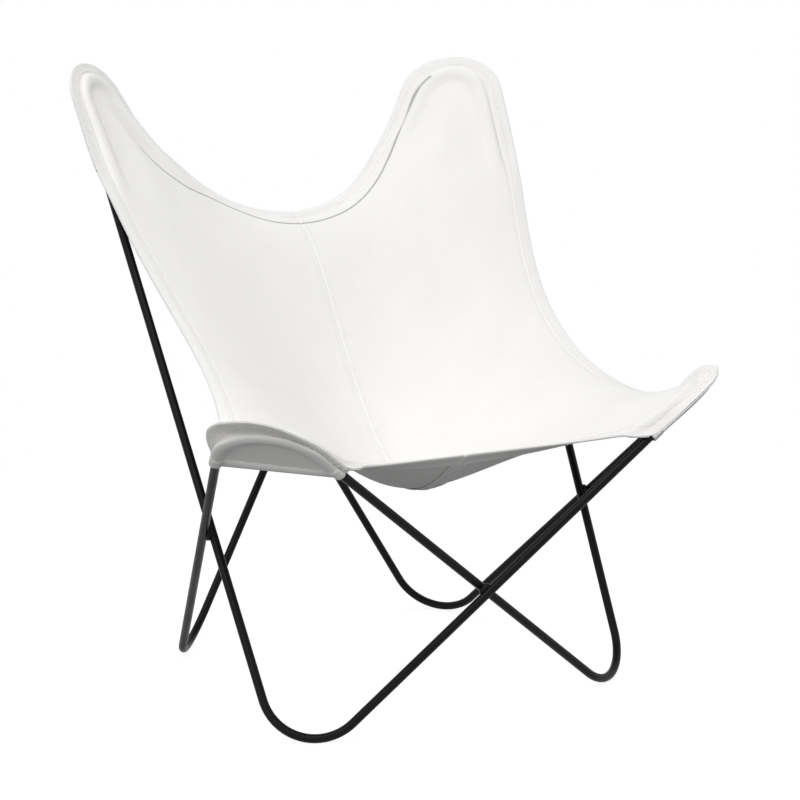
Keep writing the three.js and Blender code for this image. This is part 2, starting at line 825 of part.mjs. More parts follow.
addPiece("frame_loop_1", solidOf(closedRod(firstBends)), rodMaterial());
addPiece("frame_loop_2", solidOf(closedRod(secondBends)), rodMaterial());
const [backLeft, floorFrontLeft, frontRight, floorBackRight] = firstCorners;
const [backRight, floorFrontRight, frontLeft, floorBackLeft] = secondCorners;
addPiece("weld_front", weldBead(floorFrontLeft, frontRight, floorFrontRight, frontLeft), rodMaterial());
addPiece("weld_back", weldBead(floorBackRight, backLeft, floorBackLeft, backRight), rodMaterial());
addPiece("weld_left", weldBead(backLeft, floorFrontLeft, frontLeft, floorBackLeft), rodMaterial());
addPiece("weld_right", weldBead(backRight, floorFrontRight, frontRight, floorBackRight), rodMaterial());

addPiece("sling_left_panel", solidOf(sheetOf(leftRows, canvasThickness)), canvasMaterial());
addPiece("sling_right_panel", solidOf(sheetOf(rightRows, canvasThickness)), canvasMaterial());
const under = (rows, step) => {
  const probe = offsetRows(rows, step);
  const other = offsetRows(rows, -step);
  const side = (candidate) => candidate[0][0].clone().sub(rows[0][0]).dot(new THREE.Vector3(0, -1, 1));
  return side(probe) < side(other) ? probe : other;
};
addPiece("seam_tape", solidOf(sheetOf(under(tapeRows, layerStep), canvasThickness)), canvasMaterial());
addPiece("hem_back", solidOf(sheetOf(under(topHem, hemStep), canvasThickness)), canvasMaterial());
addPiece("hem_front", solidOf(sheetOf(under(frontHem, hemStep), canvasThickness)), canvasMaterial());
addPiece("hem_left", solidOf(sheetOf(under(leftHem, hemStep), canvasThickness)), canvasMaterial());
addPiece("hem_right", solidOf(sheetOf(under(rightHem, hemStep), canvasThickness)), canvasMaterial());

const topLine = crossEdge(backLeftEar, backRightEar, backEarTopRun, topHandle, topPull);
const frontLine = crossEdge(frontLeftEar, frontRightEar, frontEarCrossRun, frontHandle, frontPull);
const leftLine = sideEdge(true);
const rightLine = sideEdge(false);
const turned = (line) => [...line].reverse();
const pockets = [
  ["back_left", backLeftEar, backPocketSideRun, backPocketTopRun, leftLine, topLine],
  ["back_right", backRightEar, backPocketSideRun, backPocketTopRun, rightLine, turned(topLine)],
  ["front_left", frontLeftEar, frontPocketSideRun, frontPocketCrossRun, turned(leftLine), frontLine],
  ["front_right", frontRightEar, frontPocketSideRun, frontPocketCrossRun, turned(rightLine), turned(frontLine)],
];
for (const [place, ear, sideRun, freeRun, sideLine, freeLine] of pockets) {
  addPiece("pocket_" + place, solidOf(pocketOf(ear, sideRun, freeRun, sideLine, freeLine)), canvasMaterial());
  addPiece("binding_" + place, solidOf(bindingOf(ear, sideRun, freeRun)), canvasMaterial());
}

// The middle of the footprint lies on the origin and the lowest bends on the floor.
const box = new THREE.Box3().setFromObject(group);
const middleOfBox = box.getCenter(new THREE.Vector3());
for (const mesh of group.children) mesh.geometry.translate(-middleOfBox.x, -middleOfBox.y, -box.min.z);

export default group;
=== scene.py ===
"""Butterfly sling chair: two loops of bent steel rod, and a canvas sling hung by four pockets."""

import math
from types import SimpleNamespace

import bpy
import numpy as np
from mathutils import Matrix, Vector


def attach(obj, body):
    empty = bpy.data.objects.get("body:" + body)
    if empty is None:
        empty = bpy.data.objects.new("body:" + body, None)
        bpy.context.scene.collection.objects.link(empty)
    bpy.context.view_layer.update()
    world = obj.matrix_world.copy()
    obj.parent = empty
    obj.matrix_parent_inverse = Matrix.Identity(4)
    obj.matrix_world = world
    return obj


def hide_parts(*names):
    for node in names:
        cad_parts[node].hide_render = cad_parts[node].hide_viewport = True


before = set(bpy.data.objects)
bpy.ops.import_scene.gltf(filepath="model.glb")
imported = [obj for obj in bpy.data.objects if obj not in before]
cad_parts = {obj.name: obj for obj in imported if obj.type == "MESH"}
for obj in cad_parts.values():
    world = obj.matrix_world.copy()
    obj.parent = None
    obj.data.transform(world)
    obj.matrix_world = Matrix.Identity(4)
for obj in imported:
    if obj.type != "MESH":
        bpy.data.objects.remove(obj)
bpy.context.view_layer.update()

# Sizes are in millimetres until a mesh is made. The offset moves the chair's own measures onto
# the part's origin.
MM = 0.001
OFFSET = np.array([-3.365, -15.047, -0.010])

# Where the straight legs of each loop would meet, in this order: back ear, front floor bend,
# front ear, back floor bend
first_corners = np.array(
    [[-347.8, 339.5, 955], [-281.5, -240.8, -48.254], [399.824, -338, 503], [221.5, 238, -48.893]]
)
second_corners = np.array(
    [
        [347.8, 353.172, 955],
        [281.5, -227.128, -48.888],
        [-391.693, -324.328, 503],
        [-221.5, 251.672, -49.52],
    ]
)
rod_radius = 6.0
bend_radii = [51.0, 72.0, 75.0, 72.0]

# The second loop stands this far behind the first one, and the sling hangs midway
loop_shift = 13.672
half_shift = np.array([0.0, loop_shift / 2, 0.0])

# Canvas, and how far its middle layer lies above the middle of the rod
canvas_thickness = 1.5
clearance = 0.35
sheet_lift = rod_radius + clearance + canvas_thickness / 2
layer_step = canvas_thickness + clearance

# How far the canvas reaches beyond the rod at the tip of an ear, and what its (side, free) leg adds
back_rim_offset, front_rim_offset = 24.0, 37.0
back_fullness, front_fullness = (6.0, 13.0), (-17.0, -20.0)
# The front left ear's side corner is drawn in, from this share of its bend on
front_left_trim, trim_start = 11.0, 0.6

# How far the rim hangs below the top of the rod, at even places from the side leg over the tip
# to the free leg. The front right ear is twisted more than the front left one.
back_rim_drops = [5.5, 5.5, 5.0, 4.6, 4.6, 4.6, 5.0, 5.5, 5.5]
front_left_rim_drops = [-1.0, -6.5, -3.0, 4.5, 9.0, 10.5, 11.0, 8.5, 6.0]
front_right_rim_drops = [-17.0, -16.0, -12.5, -2.0, 3.0, 11.5, 13.0, 13.5, 14.0]
# How softly the rim leaves the rod, and how far past its edge the rim's slope is kept up
rim_softness, rim_overrun = 0.5, 1.2
# How an ear's hold on the canvas fades: down a leg, counted from the pocket's mouth, and away
# from the middle of the bend, counted from its radius
leg_fade, ear_fade = (-20.0, 60.0), (140.0, 220.0)

# The hollow inside an ear's rod: its depths, and where it begins and ends inwards from the rod
back_hollow, front_hollow = 6.0, 3.5
hollow_start, hollow_end = (2.0, 20.0), (30.0, 85.0)
# Folds of the cloth as (depth or height, half width)
rim_groove, rim_groove_place = (1.0, 1.5), 1.6
hem_groove, hem_swell = (0.7, 1.7), (0.5, 6.0)
back_hem_groove, back_hem_swell = (2.2, 1.5), (0.6, 6.0)
rim_gather = (1.3, 6.0)
seam_groove, seam_gather = (1.3, 1.5), (0.7, 5.0)
gather_pitch, seam_gather_place, seam_gather_pitch = 9.0, 6.0, 27.0

# Hems, tape and rows of stitches, from the edge or from the seam
hem_width, stitch_line = 22.0, 19.0
rim_stitch_line, seam_stitch_line = 12.5, 7.0
seam_tape_width, tape_gap = 26.0, 0.5
binding_width = 15.0

# Thread, a little coarser than the real 3 mm step and 0.5 mm thread so that it shows
stitch_step, stitch_length, thread_radius = 4.2, 3.0, 0.42
# What is sewn on stands off the cloth by this
sewn_gap = 0.1

# The sewn line of the top hem: from the seam across, and from the top edge down the seam
top_hem_line = [
    (-300, 60), (-285, 70), (-255, 75), (-225, 73), (-195, 65), (-160, 52), (-125, 43), (-90, 39),
    (-45, 38.5), (0, 38), (50, 39.5), (100, 42), (146, 40), (207, 31), (261, 22), (296, 17),
    (328, 13), (366, 12),
]

# Where the canvas leaves the straight legs, and the pull points of its free edges
back_ear_side_run, back_ear_top_run = 62.0, 30.0
front_ear_cross_run, front_ear_side_run = 35.0, 0.0
side_pulls = [np.array([264.0, 44.0, 476.0]), np.array([255.0, -125.0, 419.0])]
side_handle_back, side_handle_front = 190.0, 43.0
top_pull, top_handle = np.array([100.0, 245.0, 612.0]), 150.0
front_pull, front_handle = np.array([44.0, -155.0, 340.0]), 18.0
seat_pulls = np.array([[0.0, 213.0, 620.0], [0.0, 119.0, 573.0], [0.0, 45.0, 99.0]])
belly_power = 6.0

# How far the mouth of each pocket lies down its legs
front_pocket_side_run, front_pocket_cross_run = 13.0, 41.0
back_pocket_side_run, back_pocket_top_run = 114.0, 80.0

# Steps of the edges, of the solved surface and of the curves that are read between its points,
# and how much the surface's steps crowd towards its edges
RIM_STEPS, EDGE_STEPS = 64, 192
ACROSS, ALONG = 128, 136
FINE_STEPS, KNOT_STEPS = 2000, 20
crowd_share = 0.35

# Distances of the finished cloth's rows and columns from an edge and from the seam, close
# together where the folds are, and the number of even ones between them
hem_places = [
    0, 0.8, 1.8, 3.2, 5, 7, 9, 11, 12.6, 14, 15.2, 16.4, 17.4, 18.2, 19, 19.8, 20.8, 22,
    23.2, 24.4, 25.8, 27.2, 28.8, 30.4, 32, 34, 36.5, 39.5, 43,
]
seam_places = [0.3, 1.2, 2.4, 4, 6, 8.5, 11, 14, 17, 20.5, 24, 28]
body_columns, body_rows = 58, 190


def unit(v):
    """A direction, or each one of an array of them, at length 1."""
    return v / np.linalg.norm(v, axis=-1, keepdims=True)


def mirrored(p):
    return p * np.array([-1.0, 1.0, 1.0])


def smooth(value, low, high):
    """A soft step from 0 at low to 1 at high."""
    t = np.clip((value - low) / (high - low), 0.0, 1.0)
    return t * t * (3 - 2 * t)


def fold(value, middle, size):
    """A soft groove or swell of the given (depth, half width) about the middle."""
    depth, width = size
    return depth * np.exp(-(((value - middle) / width) ** 2))


def wave(run, pitch):
    """Goes from 1 to 0 and back once in every pitch."""
    return 0.5 + 0.5 * np.cos(2 * np.pi * run / pitch)


def ear_at(corners, places, sitter_side, rim_offset, fullness, rim_drops, side_trim=0.0):
    """The bend of a rod at an ear, its two legs, and the direction square to its plane on the
    sitter's side. The places are those of its own corner and of its side and free neighbours."""
    corner, side_neighbour, free_neighbour = corners[places]
    side_leg, free_leg = unit(side_neighbour - corner), unit(free_neighbour - corner)
    half = math.acos(side_leg @ free_leg) / 2
    middle = unit(side_leg + free_leg)
    normal = unit(np.cross(side_leg, free_leg))
    if normal @ sitter_side < 0:
        normal = -normal
    radius = bend_radii[places[0]]
    return SimpleNamespace(
        centre=corner + middle * radius / math.sin(half),
        middle=middle,
        normal=normal,
        side_leg=side_leg,
        free_leg=free_leg,
        radius=radius,
        rim_offset=rim_offset,
        side_fullness=fullness[0],
        free_fullness=fullness[1],
        side_trim=side_trim,
        spread=math.pi / 2 - half,
        rim_drops=rim_drops,
    )


back_kind = ([0, 1, 3], np.array([0.0, -1.0, 0.0]), back_rim_offset, back_fullness)
front_kind = ([2, 3, 1], np.array([0.0, 0.0, 1.0]), front_rim_offset, front_fullness)
back_left = ear_at(first_corners, *back_kind, back_rim_drops)
back_right = ear_at(second_corners, *back_kind, back_rim_drops)
front_right = ear_at(first_corners, *front_kind, front_right_rim_drops)
front_left = ear_at(second_corners, *front_kind, front_left_rim_drops, front_left_trim)


def outward_of(ear, leg):
    return unit(leg - ear.middle * (leg @ ear.middle))


def arc_directions(ear, leg, shares):
    """Directions out of the middle of an ear's bend, from its tip at 0 to the leg's start at 1."""
    angles = ear.spread * shares
    return -ear.middle * np.cos(angles) + outward_of(ear, leg) * np.sin(angles)


def reach_at(ear, leg, shares):
    """How far the canvas reaches beyond the rod, from the tip of the ear towards its leg."""
    full, trim = ear.side_fullness, ear.side_trim
    if leg is ear.free_leg:
        full, trim = ear.free_fullness, 0.0
    swell = full * np.sin(math.pi * shares / 2) ** 2
    return ear.rim_offset + swell - trim * smooth(shares, trim_start, 1.0)


def rim_line(ear, leg, run):
    """The edge of the canvas from the tip of an ear round half its bend and down that leg."""
    shares = np.linspace(0, 1, RIM_STEPS + 1)[:, None]
    arc = arc_directions(ear, leg, shares)
    points = ear.centre + (ear.radius + reach_at(ear, leg, shares)) * arc + ear.normal * sheet_lift
    return np.vstack([points, points[-1] + leg * run])


def bezier(controls, steps):
    shares = np.linspace(0, 1, steps + 1)[:, None]
    degree = len(controls) - 1
    return sum(
        math.comb(degree, k) * shares**k * (1 - shares) ** (degree - k) * np.asarray(point)
        for k, point in enumerate(controls)
    )


def lengths_along(points):
    steps = np.linalg.norm(np.diff(points, axis=0), axis=1)
    return np.concatenate([[0.0], np.cumsum(steps)])


def along_line(points, distances):
    """Points at the given distances along a line."""
    run = lengths_along(points)
    return np.stack([np.interp(distances, run, points[:, axis]) for axis in range(3)], axis=1)


def crowd(even):
    """Even shares of a line, drawn a little towards both its ends."""
    return even * (1 - crowd_share) + (1 - np.cos(np.pi * even)) / 2 * crowd_share


def spaced(points, steps):
    """Points along a line, crowded a little towards both ends."""
    return along_line(points, crowd(np.linspace(0, 1, steps + 1)) * lengths_along(points)[-1])


def free_edge(start, end, pulls):
    """A free edge of the canvas from the tip of one ear to the tip of the next. Each end is an
    ear, its leg, how far the canvas follows that leg and how far it still leans that way."""
    (first_ear, first_leg, first_run, first_handle), (ear, leg, run, handle) = start, end
    head = rim_line(first_ear, first_leg, first_run)
    tail = rim_line(ear, leg, run)[::-1]
    controls = [
        head[-1],
        head[-1] + first_leg * first_handle,
        *(pull + half_shift for pull in pulls),
        tail[0] + leg * handle,
        tail[0],
    ]
    return np.vstack([head[:-1], bezier(controls, EDGE_STEPS), tail[1:]])


def side_edge(back, front, pulls):
    return free_edge(
        (back, back.side_leg, back_ear_side_run, side_handle_back),
        (front, front.side_leg, front_ear_side_run, side_handle_front),
        pulls,
    )


def cross_edge(left, right, run, handle, pull):
    ends = [(ear, ear.free_leg, run, handle) for ear in (left, right)]
    return free_edge(*ends, [mirrored(pull), pull])


top_line = cross_edge(back_left, back_right, back_ear_top_run, top_handle, top_pull)
front_line = cross_edge(front_left, front_right, front_ear_cross_run, front_handle, front_pull)
left_line = side_edge(back_left, front_left, [mirrored(pull) for pull in side_pulls])
right_line = side_edge(back_right, front_right, side_pulls)


def hanging_surface():
    """The canvas between its four edges: each point rests at the mean of its neighbours, and each
    row is drawn down evenly until its middle lies on the seat's middle line. Solved as a sum of
    sines."""
    top, front = spaced(top_line, ACROSS), spaced(front_line, ACROSS)
    left, right = spaced(left_line, ALONG), spaced(right_line, ALONG)
    weight_x, weight_y = float(ACROSS**2), float(ALONG**2)
    inner_x, inner_y = np.arange(1, ACROSS), np.arange(1, ALONG)
    sine_x = math.sqrt(2 / ACROSS) * np.sin(np.pi * np.outer(inner_x, inner_x) / ACROSS)
    sine_y = math.sqrt(2 / ALONG) * np.sin(np.pi * np.outer(inner_y, inner_y) / ALONG)
    stiff_x = weight_x * (2 - 2 * np.cos(np.pi * inner_x / ACROSS))
    stiff_y = weight_y * (2 - 2 * np.cos(np.pi * inner_y / ALONG))
    stiffness = stiff_y[:, None] + stiff_x

    def solved(load):
        rests = [
            sine_y @ ((sine_y @ load[..., k] @ sine_x) / stiffness) @ sine_x for k in range(3)
        ]
        return np.stack(rests, axis=2)

    load = np.zeros((ALONG - 1, ACROSS - 1, 3))
    load[:, 0] += weight_x * left[1:-1]
    load[:, -1] += weight_x * right[1:-1]
    load[0] += weight_y * top[1:-1]
    load[-1] += weight_y * front[1:-1]
    free = solved(load)
    middle = ACROSS // 2
    pulls = seat_pulls + half_shift
    seat_line = bezier([top[middle], *pulls, front[middle]], EDGE_STEPS)
    profile = spaced(seat_line, ALONG)[1:-1]
    bearing = np.sin(np.pi * inner_x / ACROSS) ** belly_power
    share_of_row = ((sine_x[middle - 1] * (bearing @ sine_x)) / stiffness).sum(axis=1)
    response = sine_y @ (share_of_row[:, None] * sine_y)
    pull = np.linalg.solve(response, profile - free[:, middle - 1])
    inner = solved(load + pull[:, None, :] * bearing[:, None])
    grid = np.zeros((ALONG + 1, ACROSS + 1, 3))
    grid[0], grid[-1], grid[:, 0], grid[:, -1] = top, front, left, right
    grid[1:-1, 1:-1] = inner
    return grid


def sampler(count, places):
    """Weights that read a smooth curve through count + 1 points at any place between them."""
    weights = np.zeros((len(places), count + 3))
    for row, place in enumerate(places):
        k = min(int(place), count - 1)
        t = place - k
        turns = [
            -t + 2 * t**2 - t**3,
            2 - 5 * t**2 + 3 * t**3,
            t + 4 * t**2 - 3 * t**3,
            -(t**2) + t**3,
        ]
        weights[row, k : k + 4] = np.array(turns) / 2
    inside = weights[:, 1:-1].copy()
    inside[:, 0] += 2 * weights[:, 0]
    inside[:, 1] -= weights[:, 0]
    inside[:, -1] += 2 * weights[:, -1]
    inside[:, -2] -= weights[:, -1]
    return inside


surface = hanging_surface()


def places_for(line, count, fine_at_middle):
    """Where the rows or columns of the finished cloth lie: close together at hems and seam."""
    total = lengths_along(line)[-1]
    even = np.linspace(0, 1, FINE_STEPS + 1)
    last_hem, last_seam = hem_places[-1], seam_places[-1]
    if fine_at_middle:
        body = np.linspace(last_hem, total / 2 - last_seam, body_columns)[1:-1]
        half = [*hem_places, *body, *(total / 2 - place for place in reversed(seam_places))]
        full = [*half, *(total - place for place in reversed(half))]
    else:
        body = np.linspace(last_hem, total - last_hem, body_rows)[1:-1]
        full = [*hem_places, *body, *(total - place for place in reversed(hem_places))]
    return np.interp(full, total * crowd(even), even) * count


columns = places_for(top_line, ACROSS, True)
rows = places_for(left_line, ALONG, False)
by_columns = np.einsum("ci,jik->cjk", sampler(ACROSS, columns), surface)
cloth = np.einsum("rj,cjk->rck", sampler(ALONG, rows), by_columns)
MIDDLE = len(columns) // 2  # first column of the right panel


def grid_normals(grid):
    return unit(np.cross(np.gradient(grid, axis=0), np.gradient(grid, axis=1)))


normals = grid_normals(cloth)


def distance_to(points, line):
    """Shortest distance of each point to a polyline, and how far along the line its foot lies."""
    flat = points.reshape(-1, 3)
    best = np.full(len(flat), np.inf)
    run_at = np.zeros(len(flat))
    run = lengths_along(line)
    for k in range(len(line) - 1):
        step = line[k + 1] - line[k]
        size = step @ step
        if size == 0:
            continue
        share = np.clip(((flat - line[k]) @ step) / size, 0, 1)
        gap = np.linalg.norm(flat - line[k] - share[:, None] * step, axis=1)
        nearer = gap < best
        best[nearer] = gap[nearer]
        run_at[nearer] = run[k] + share[nearer] * math.sqrt(size)
    return best.reshape(points.shape[:-1]), run_at.reshape(points.shape[:-1])


edge_lines = {"back": top_line, "front": front_line, "left": left_line, "right": right_line}
edge_gaps = {name: distance_to(cloth, line[::2]) for name, line in edge_lines.items()}
all_gaps, all_runs = zip(*edge_gaps.values())
from_edge = np.min(all_gaps, axis=0)
edge_run = np.choose(np.argmin(all_gaps, axis=0), all_runs)

seam_points = (cloth[:, MIDDLE - 1] + cloth[:, MIDDLE]) / 2
seam_run = lengths_along(seam_points)
seam_length = seam_run[-1]
steps_across = np.linalg.norm(np.diff(cloth, axis=1), axis=2)
run_across = np.concatenate([np.zeros((len(rows), 1)), np.cumsum(steps_across, axis=1)], axis=1)
from_seam = run_across - (run_across[:, [MIDDLE - 1]] + run_across[:, [MIDDLE]]) / 2


def rod_offset(ear, points, side_run, free_run):
    """Signed distance from the rod's middle line in the plane of an ear, outwards positive, a
    weight that fades where the canvas leaves the rod, and the share of the bend, from the side
    leg at -1 over the tip to the free leg at 1."""
    offset = points - ear.centre
    offset = offset - (offset @ ear.normal)[..., None] * ear.normal
    side_out, free_out = outward_of(ear, ear.side_leg), outward_of(ear, ear.free_leg)
    forward = -(offset @ ear.middle)
    sideways = offset @ side_out
    angle = np.arctan2(np.abs(sideways), forward)
    distance = np.linalg.norm(offset, axis=-1)
    result, weight = distance - ear.radius, np.ones(distance.shape)
    for leg, out, run, sign in (
        (ear.side_leg, side_out, side_run, 1),
        (ear.free_leg, free_out, free_run, -1),
    ):
        square = unit(out - leg * (out @ leg))
        from_leg = offset @ square - ear.radius
        here = (angle > ear.spread) & (sideways * sign > 0)
        result = np.where(here, from_leg, result)
        fading = 1 - smooth(offset @ leg, run + leg_fade[0], run + leg_fade[1])
        weight = np.where(here, fading, weight)
    near = 1 - smooth(distance, ear.radius + ear_fade[0], ear.radius + ear_fade[1])
    towards_free = -np.sign(sideways) * np.clip(angle / ear.spread, 0, 1)
    return result, weight * near, towards_free


def rim_lowering(ear, x, towards_free):
    """How far the canvas lies below the top of the rod: it follows the rod's round, and then
    stands off as a rim."""
    knots = len(ear.rim_drops) - 1
    dense = np.linspace(0, knots, KNOT_STEPS * knots + 1)
    curve = sampler(knots, dense) @ np.array(ear.rim_drops)
    drop = np.interp((towards_free + 1) / 2 * knots, dense, curve)
    share = np.abs(towards_free)
    free_reach, side_reach = (reach_at(ear, leg, share) for leg in (ear.free_leg, ear.side_leg))
    reach = np.where(towards_free > 0, free_reach, side_reach)
    on_rod = np.sqrt(np.maximum(sheet_lift**2 - np.clip(x, 0, None) ** 2, 0))
    round_drop = np.clip(drop, 0, sheet_lift - rim_softness)
    low = sheet_lift - round_drop
    gap = np.clip((on_rod - low) / rim_softness, -30, 30)  # within what exp can take
    height = np.minimum(low + rim_softness * np.log1p(np.exp(gap)), sheet_lift)
    slope = (x - rod_radius) / np.maximum(reach - rod_radius, rod_radius)
    beyond = (drop - round_drop) * np.clip(slope, 0, rim_overrun)
    return np.where(x > 0, sheet_lift - height + beyond, 0.0)


ears = {
    "back_left": (back_left, back_pocket_side_run, back_pocket_top_run),
    "back_right": (back_right, back_pocket_side_run, back_pocket_top_run),
    "front_left": (front_left, front_pocket_side_run, front_pocket_cross_run),
    "front_right": (front_right, front_pocket_side_run, front_pocket_cross_run),
}

# Shape of the cloth beyond the smooth surface, in millimetres square to it
relief = np.zeros(from_edge.shape)
near_ear = np.zeros(from_edge.shape)
for ear, side_run, free_run in ears.values():
    x, weight, towards_free = rod_offset(ear, cloth, side_run, free_run)
    hollow = smooth(-x, *hollow_start) * (1 - smooth(-x, *hollow_end))
    groove = fold(x, sheet_lift + rim_groove_place, rim_groove)
    depth = back_hollow if ear.rim_drops is back_rim_drops else front_hollow
    relief -= weight * (depth * hollow + rim_lowering(ear, x, towards_free) + groove)
    near_ear = np.maximum(near_ear, weight)

on_free_edge = 1 - near_ear
from_back_edge = edge_gaps["back"][0]
relief -= near_ear * fold(from_edge, stitch_line / 2, rim_gather) * wave(edge_run, gather_pitch)
relief -= on_free_edge * fold(from_edge, stitch_line, hem_groove)
relief += on_free_edge * fold(from_edge, stitch_line / 2, hem_swell)
relief -= on_free_edge * fold(from_back_edge, stitch_line, back_hem_groove)
relief += on_free_edge * fold(from_back_edge, stitch_line / 2, back_hem_swell)
relief -= fold(from_seam, 0.0, seam_groove)
pulls = wave(seam_run, seam_gather_pitch)[:, None] ** 3
relief -= fold(from_seam, seam_gather_place, seam_gather) * pulls
finished = cloth + normals * relief[..., None]
for ear, side_run, free_run in ears.values():
    # Where the canvas would sink into the rod it lies on it instead
    x, weight, _ = rod_offset(ear, finished, side_run, free_run)
    above = (finished - ear.centre) @ ear.normal
    on_rod = np.sqrt(np.maximum(sheet_lift**2 - x**2, 0))
    sunk = (above < on_rod) & (above > 0) & (np.abs(x) < rod_radius) & (weight > 0)
    finished += ear.normal * np.where(sunk, on_rod - above, 0.0)[..., None]
finished_normals = grid_normals(finished)


def shell(points, faces, thickness):
    """A closed skin of cloth about a surface with a free edge, with a round rim. Returns points,
    faces and each point's source."""
    points = np.asarray(points, float)
    point_normals = np.zeros(points.shape)
    directed = {}
    for face in faces:
        a, b, c = points[face[0]], points[face[1]], points[face[2]]
        turn = np.cross(b - a, c - a) if len(face) == 3 else np.cross(c - a, points[face[3]] - b)
        for k, corner in enumerate(face):
            point_normals[corner] += turn
            directed[(corner, face[(k + 1) % len(face)])] = True
    point_normals /= np.maximum(np.linalg.norm(point_normals, axis=1, keepdims=True), 1e-12)
    rim_edges = [(a, b) for a, b in directed if (b, a) not in directed]
    outward = {}
    for a, b in rim_edges:
        for end in (a, b):
            outward[end] = outward.get(end, 0) + np.cross(points[b] - points[a], point_normals[end])
    count = len(points)
    half = thickness / 2
    ring = {corner: 2 * count + k for k, corner in enumerate(outward)}
    rim = [points[corner] + unit(out) * half for corner, out in outward.items()]
    made = [points + point_normals * half, points - point_normals * half, np.array(rim)]
    skin = [tuple(face) for face in faces]
    skin += [tuple(corner + count for corner in reversed(face)) for face in faces]
    for a, b in rim_edges:
        skin.append((b, a, ring[a], ring[b]))
        skin.append((ring[b], ring[a], a + count, b + count))
    source = np.concatenate([np.arange(count), np.arange(count), np.array(list(ring), int)])
    return np.vstack(made), skin, source


def placed(name, data):
    """A new object of the scene, at the origin."""
    made = bpy.data.objects.new(name, data)
    bpy.context.scene.collection.objects.link(made)
    return made


def mesh_object(name, points, faces, flat):
    mesh = bpy.data.meshes.new(name)
    mesh.from_pydata(((points + OFFSET) * MM).tolist(), [], faces)
    mesh.polygons.foreach_set("use_smooth", [True] * len(mesh.polygons))
    corners = np.zeros(len(mesh.loops), int)
    mesh.loops.foreach_get("vertex_index", corners)
    layer = mesh.uv_layers.new(name="flat")
    layer.data.foreach_set("uv", (np.asarray(flat) * MM)[corners].ravel())
    return placed(name, mesh)


def grid_faces(count_rows, count_columns):
    faces = []
    for j in range(count_rows - 1):
        for i in range(count_columns - 1):
            a = j * count_columns + i
            faces.append((a, a + count_columns, a + count_columns + 1, a + 1))
    return faces


def flat_grid(across, along):
    """The flat coordinates of a grid of cloth, which its weave follows."""
    return np.stack(np.broadcast_arrays(across, along), axis=2)


def cloth_object(name, grid, flat, thickness=canvas_thickness):
    """A closed piece of cloth from a grid of points and its flat coordinates."""
    points, faces, source = shell(grid.reshape(-1, 3), grid_faces(*grid.shape[:2]), thickness)
    return mesh_object(name, points, faces, flat.reshape(-1, 2)[source])


flat_cut = flat_grid(from_seam, seam_run[:, None])


def add_node(tree, kind, inputs=None, **settings):
    """Adds a node with its settings, and sets or links its inputs."""
    made = tree.nodes.new(kind)
    for name, value in settings.items():
        setattr(made, name, value)
    for name, value in (inputs or {}).items():
        if isinstance(value, bpy.types.NodeSocket):
            tree.links.new(value, made.inputs[name])
        else:
            made.inputs[name].default_value = value
    return made


def linear(colour):
    """An sRGB hex colour as linear red, green, blue and alpha."""
    values = [int(colour[k : k + 2], 16) / 255 for k in (1, 3, 5)]
    return [v / 12.92 if v <= 0.04045 else ((v + 0.055) / 1.055) ** 2.4 for v in values] + [1.0]


def new_material(name):
    material = bpy.data.materials.new(name)
    material.use_nodes = True
    material.node_tree.nodes.clear()
    return material, material.node_tree


# Powder-coated steel rod: black polyester powder, baked, semi-gloss with a very fine orange peel.
# The eye sees a deep black with a soft, slightly broken highlight along the rod.
orange_peel, gloss_patch = 1 / 900, 1 / 35  # 1.1 mm and 29 mm
rod_material, tree = new_material("powder_coated_steel_rod")
place = add_node(tree, "ShaderNodeTexCoord").outputs["Object"]
peel = add_node(
    tree, "ShaderNodeTexNoise", {"Vector": place, "Scale": 1 / orange_peel, "Detail": 2.0}
)
patches = add_node(
    tree, "ShaderNodeTexNoise", {"Vector": place, "Scale": 1 / gloss_patch, "Detail": 3.0}
).outputs["Fac"]
gloss = add_node(
    tree,
    "ShaderNodeMapRange",
    {"Value": patches, "From Min": 0.3, "From Max": 0.7, "To Min": 0.34, "To Max": 0.44},
)
relief_of_coat = add_node(
    tree, "ShaderNodeBump", {"Height": peel.outputs["Fac"], "Strength": 0.25, "Distance": 0.0001}
)
tint = add_node(
    tree,
    "ShaderNodeMix",
    {"Factor": patches, "A": linear("#060606"), "B": linear("#0c0c0c")},
    data_type="RGBA",
)
coat = add_node(
    tree,
    "ShaderNodeBsdfPrincipled",
    {
        "Base Color": tint.outputs["Result"],
        "Roughness": gloss.outputs["Result"],
        "IOR": 1.5,
        "Specular IOR Level": 0.14,
        "Normal": relief_of_coat.outputs["Normal"],
    },
)
add_node(tree, "ShaderNodeOutputMaterial", {"Surface": coat.outputs["BSDF"]})

# The weave is drawn at 6.9 mm, coarser than the real threads of about 0.7 mm, so that it shows.
# The Wave texture's bands repeat once in 2 pi / 20 of its own unit.
weave_step = 2 * math.pi * 0.0011
slub_length, cloud_size = 1 / 160, 1 / 14  # 6 mm and 71 mm
# Half widths of the sewn line's core and soft edge, over which its bump and its painted shade fade,
# and the depth of its bump
sewn_line_core, sewn_line_edge, sewn_line_depth = 0.0005, 0.0024, -3.0


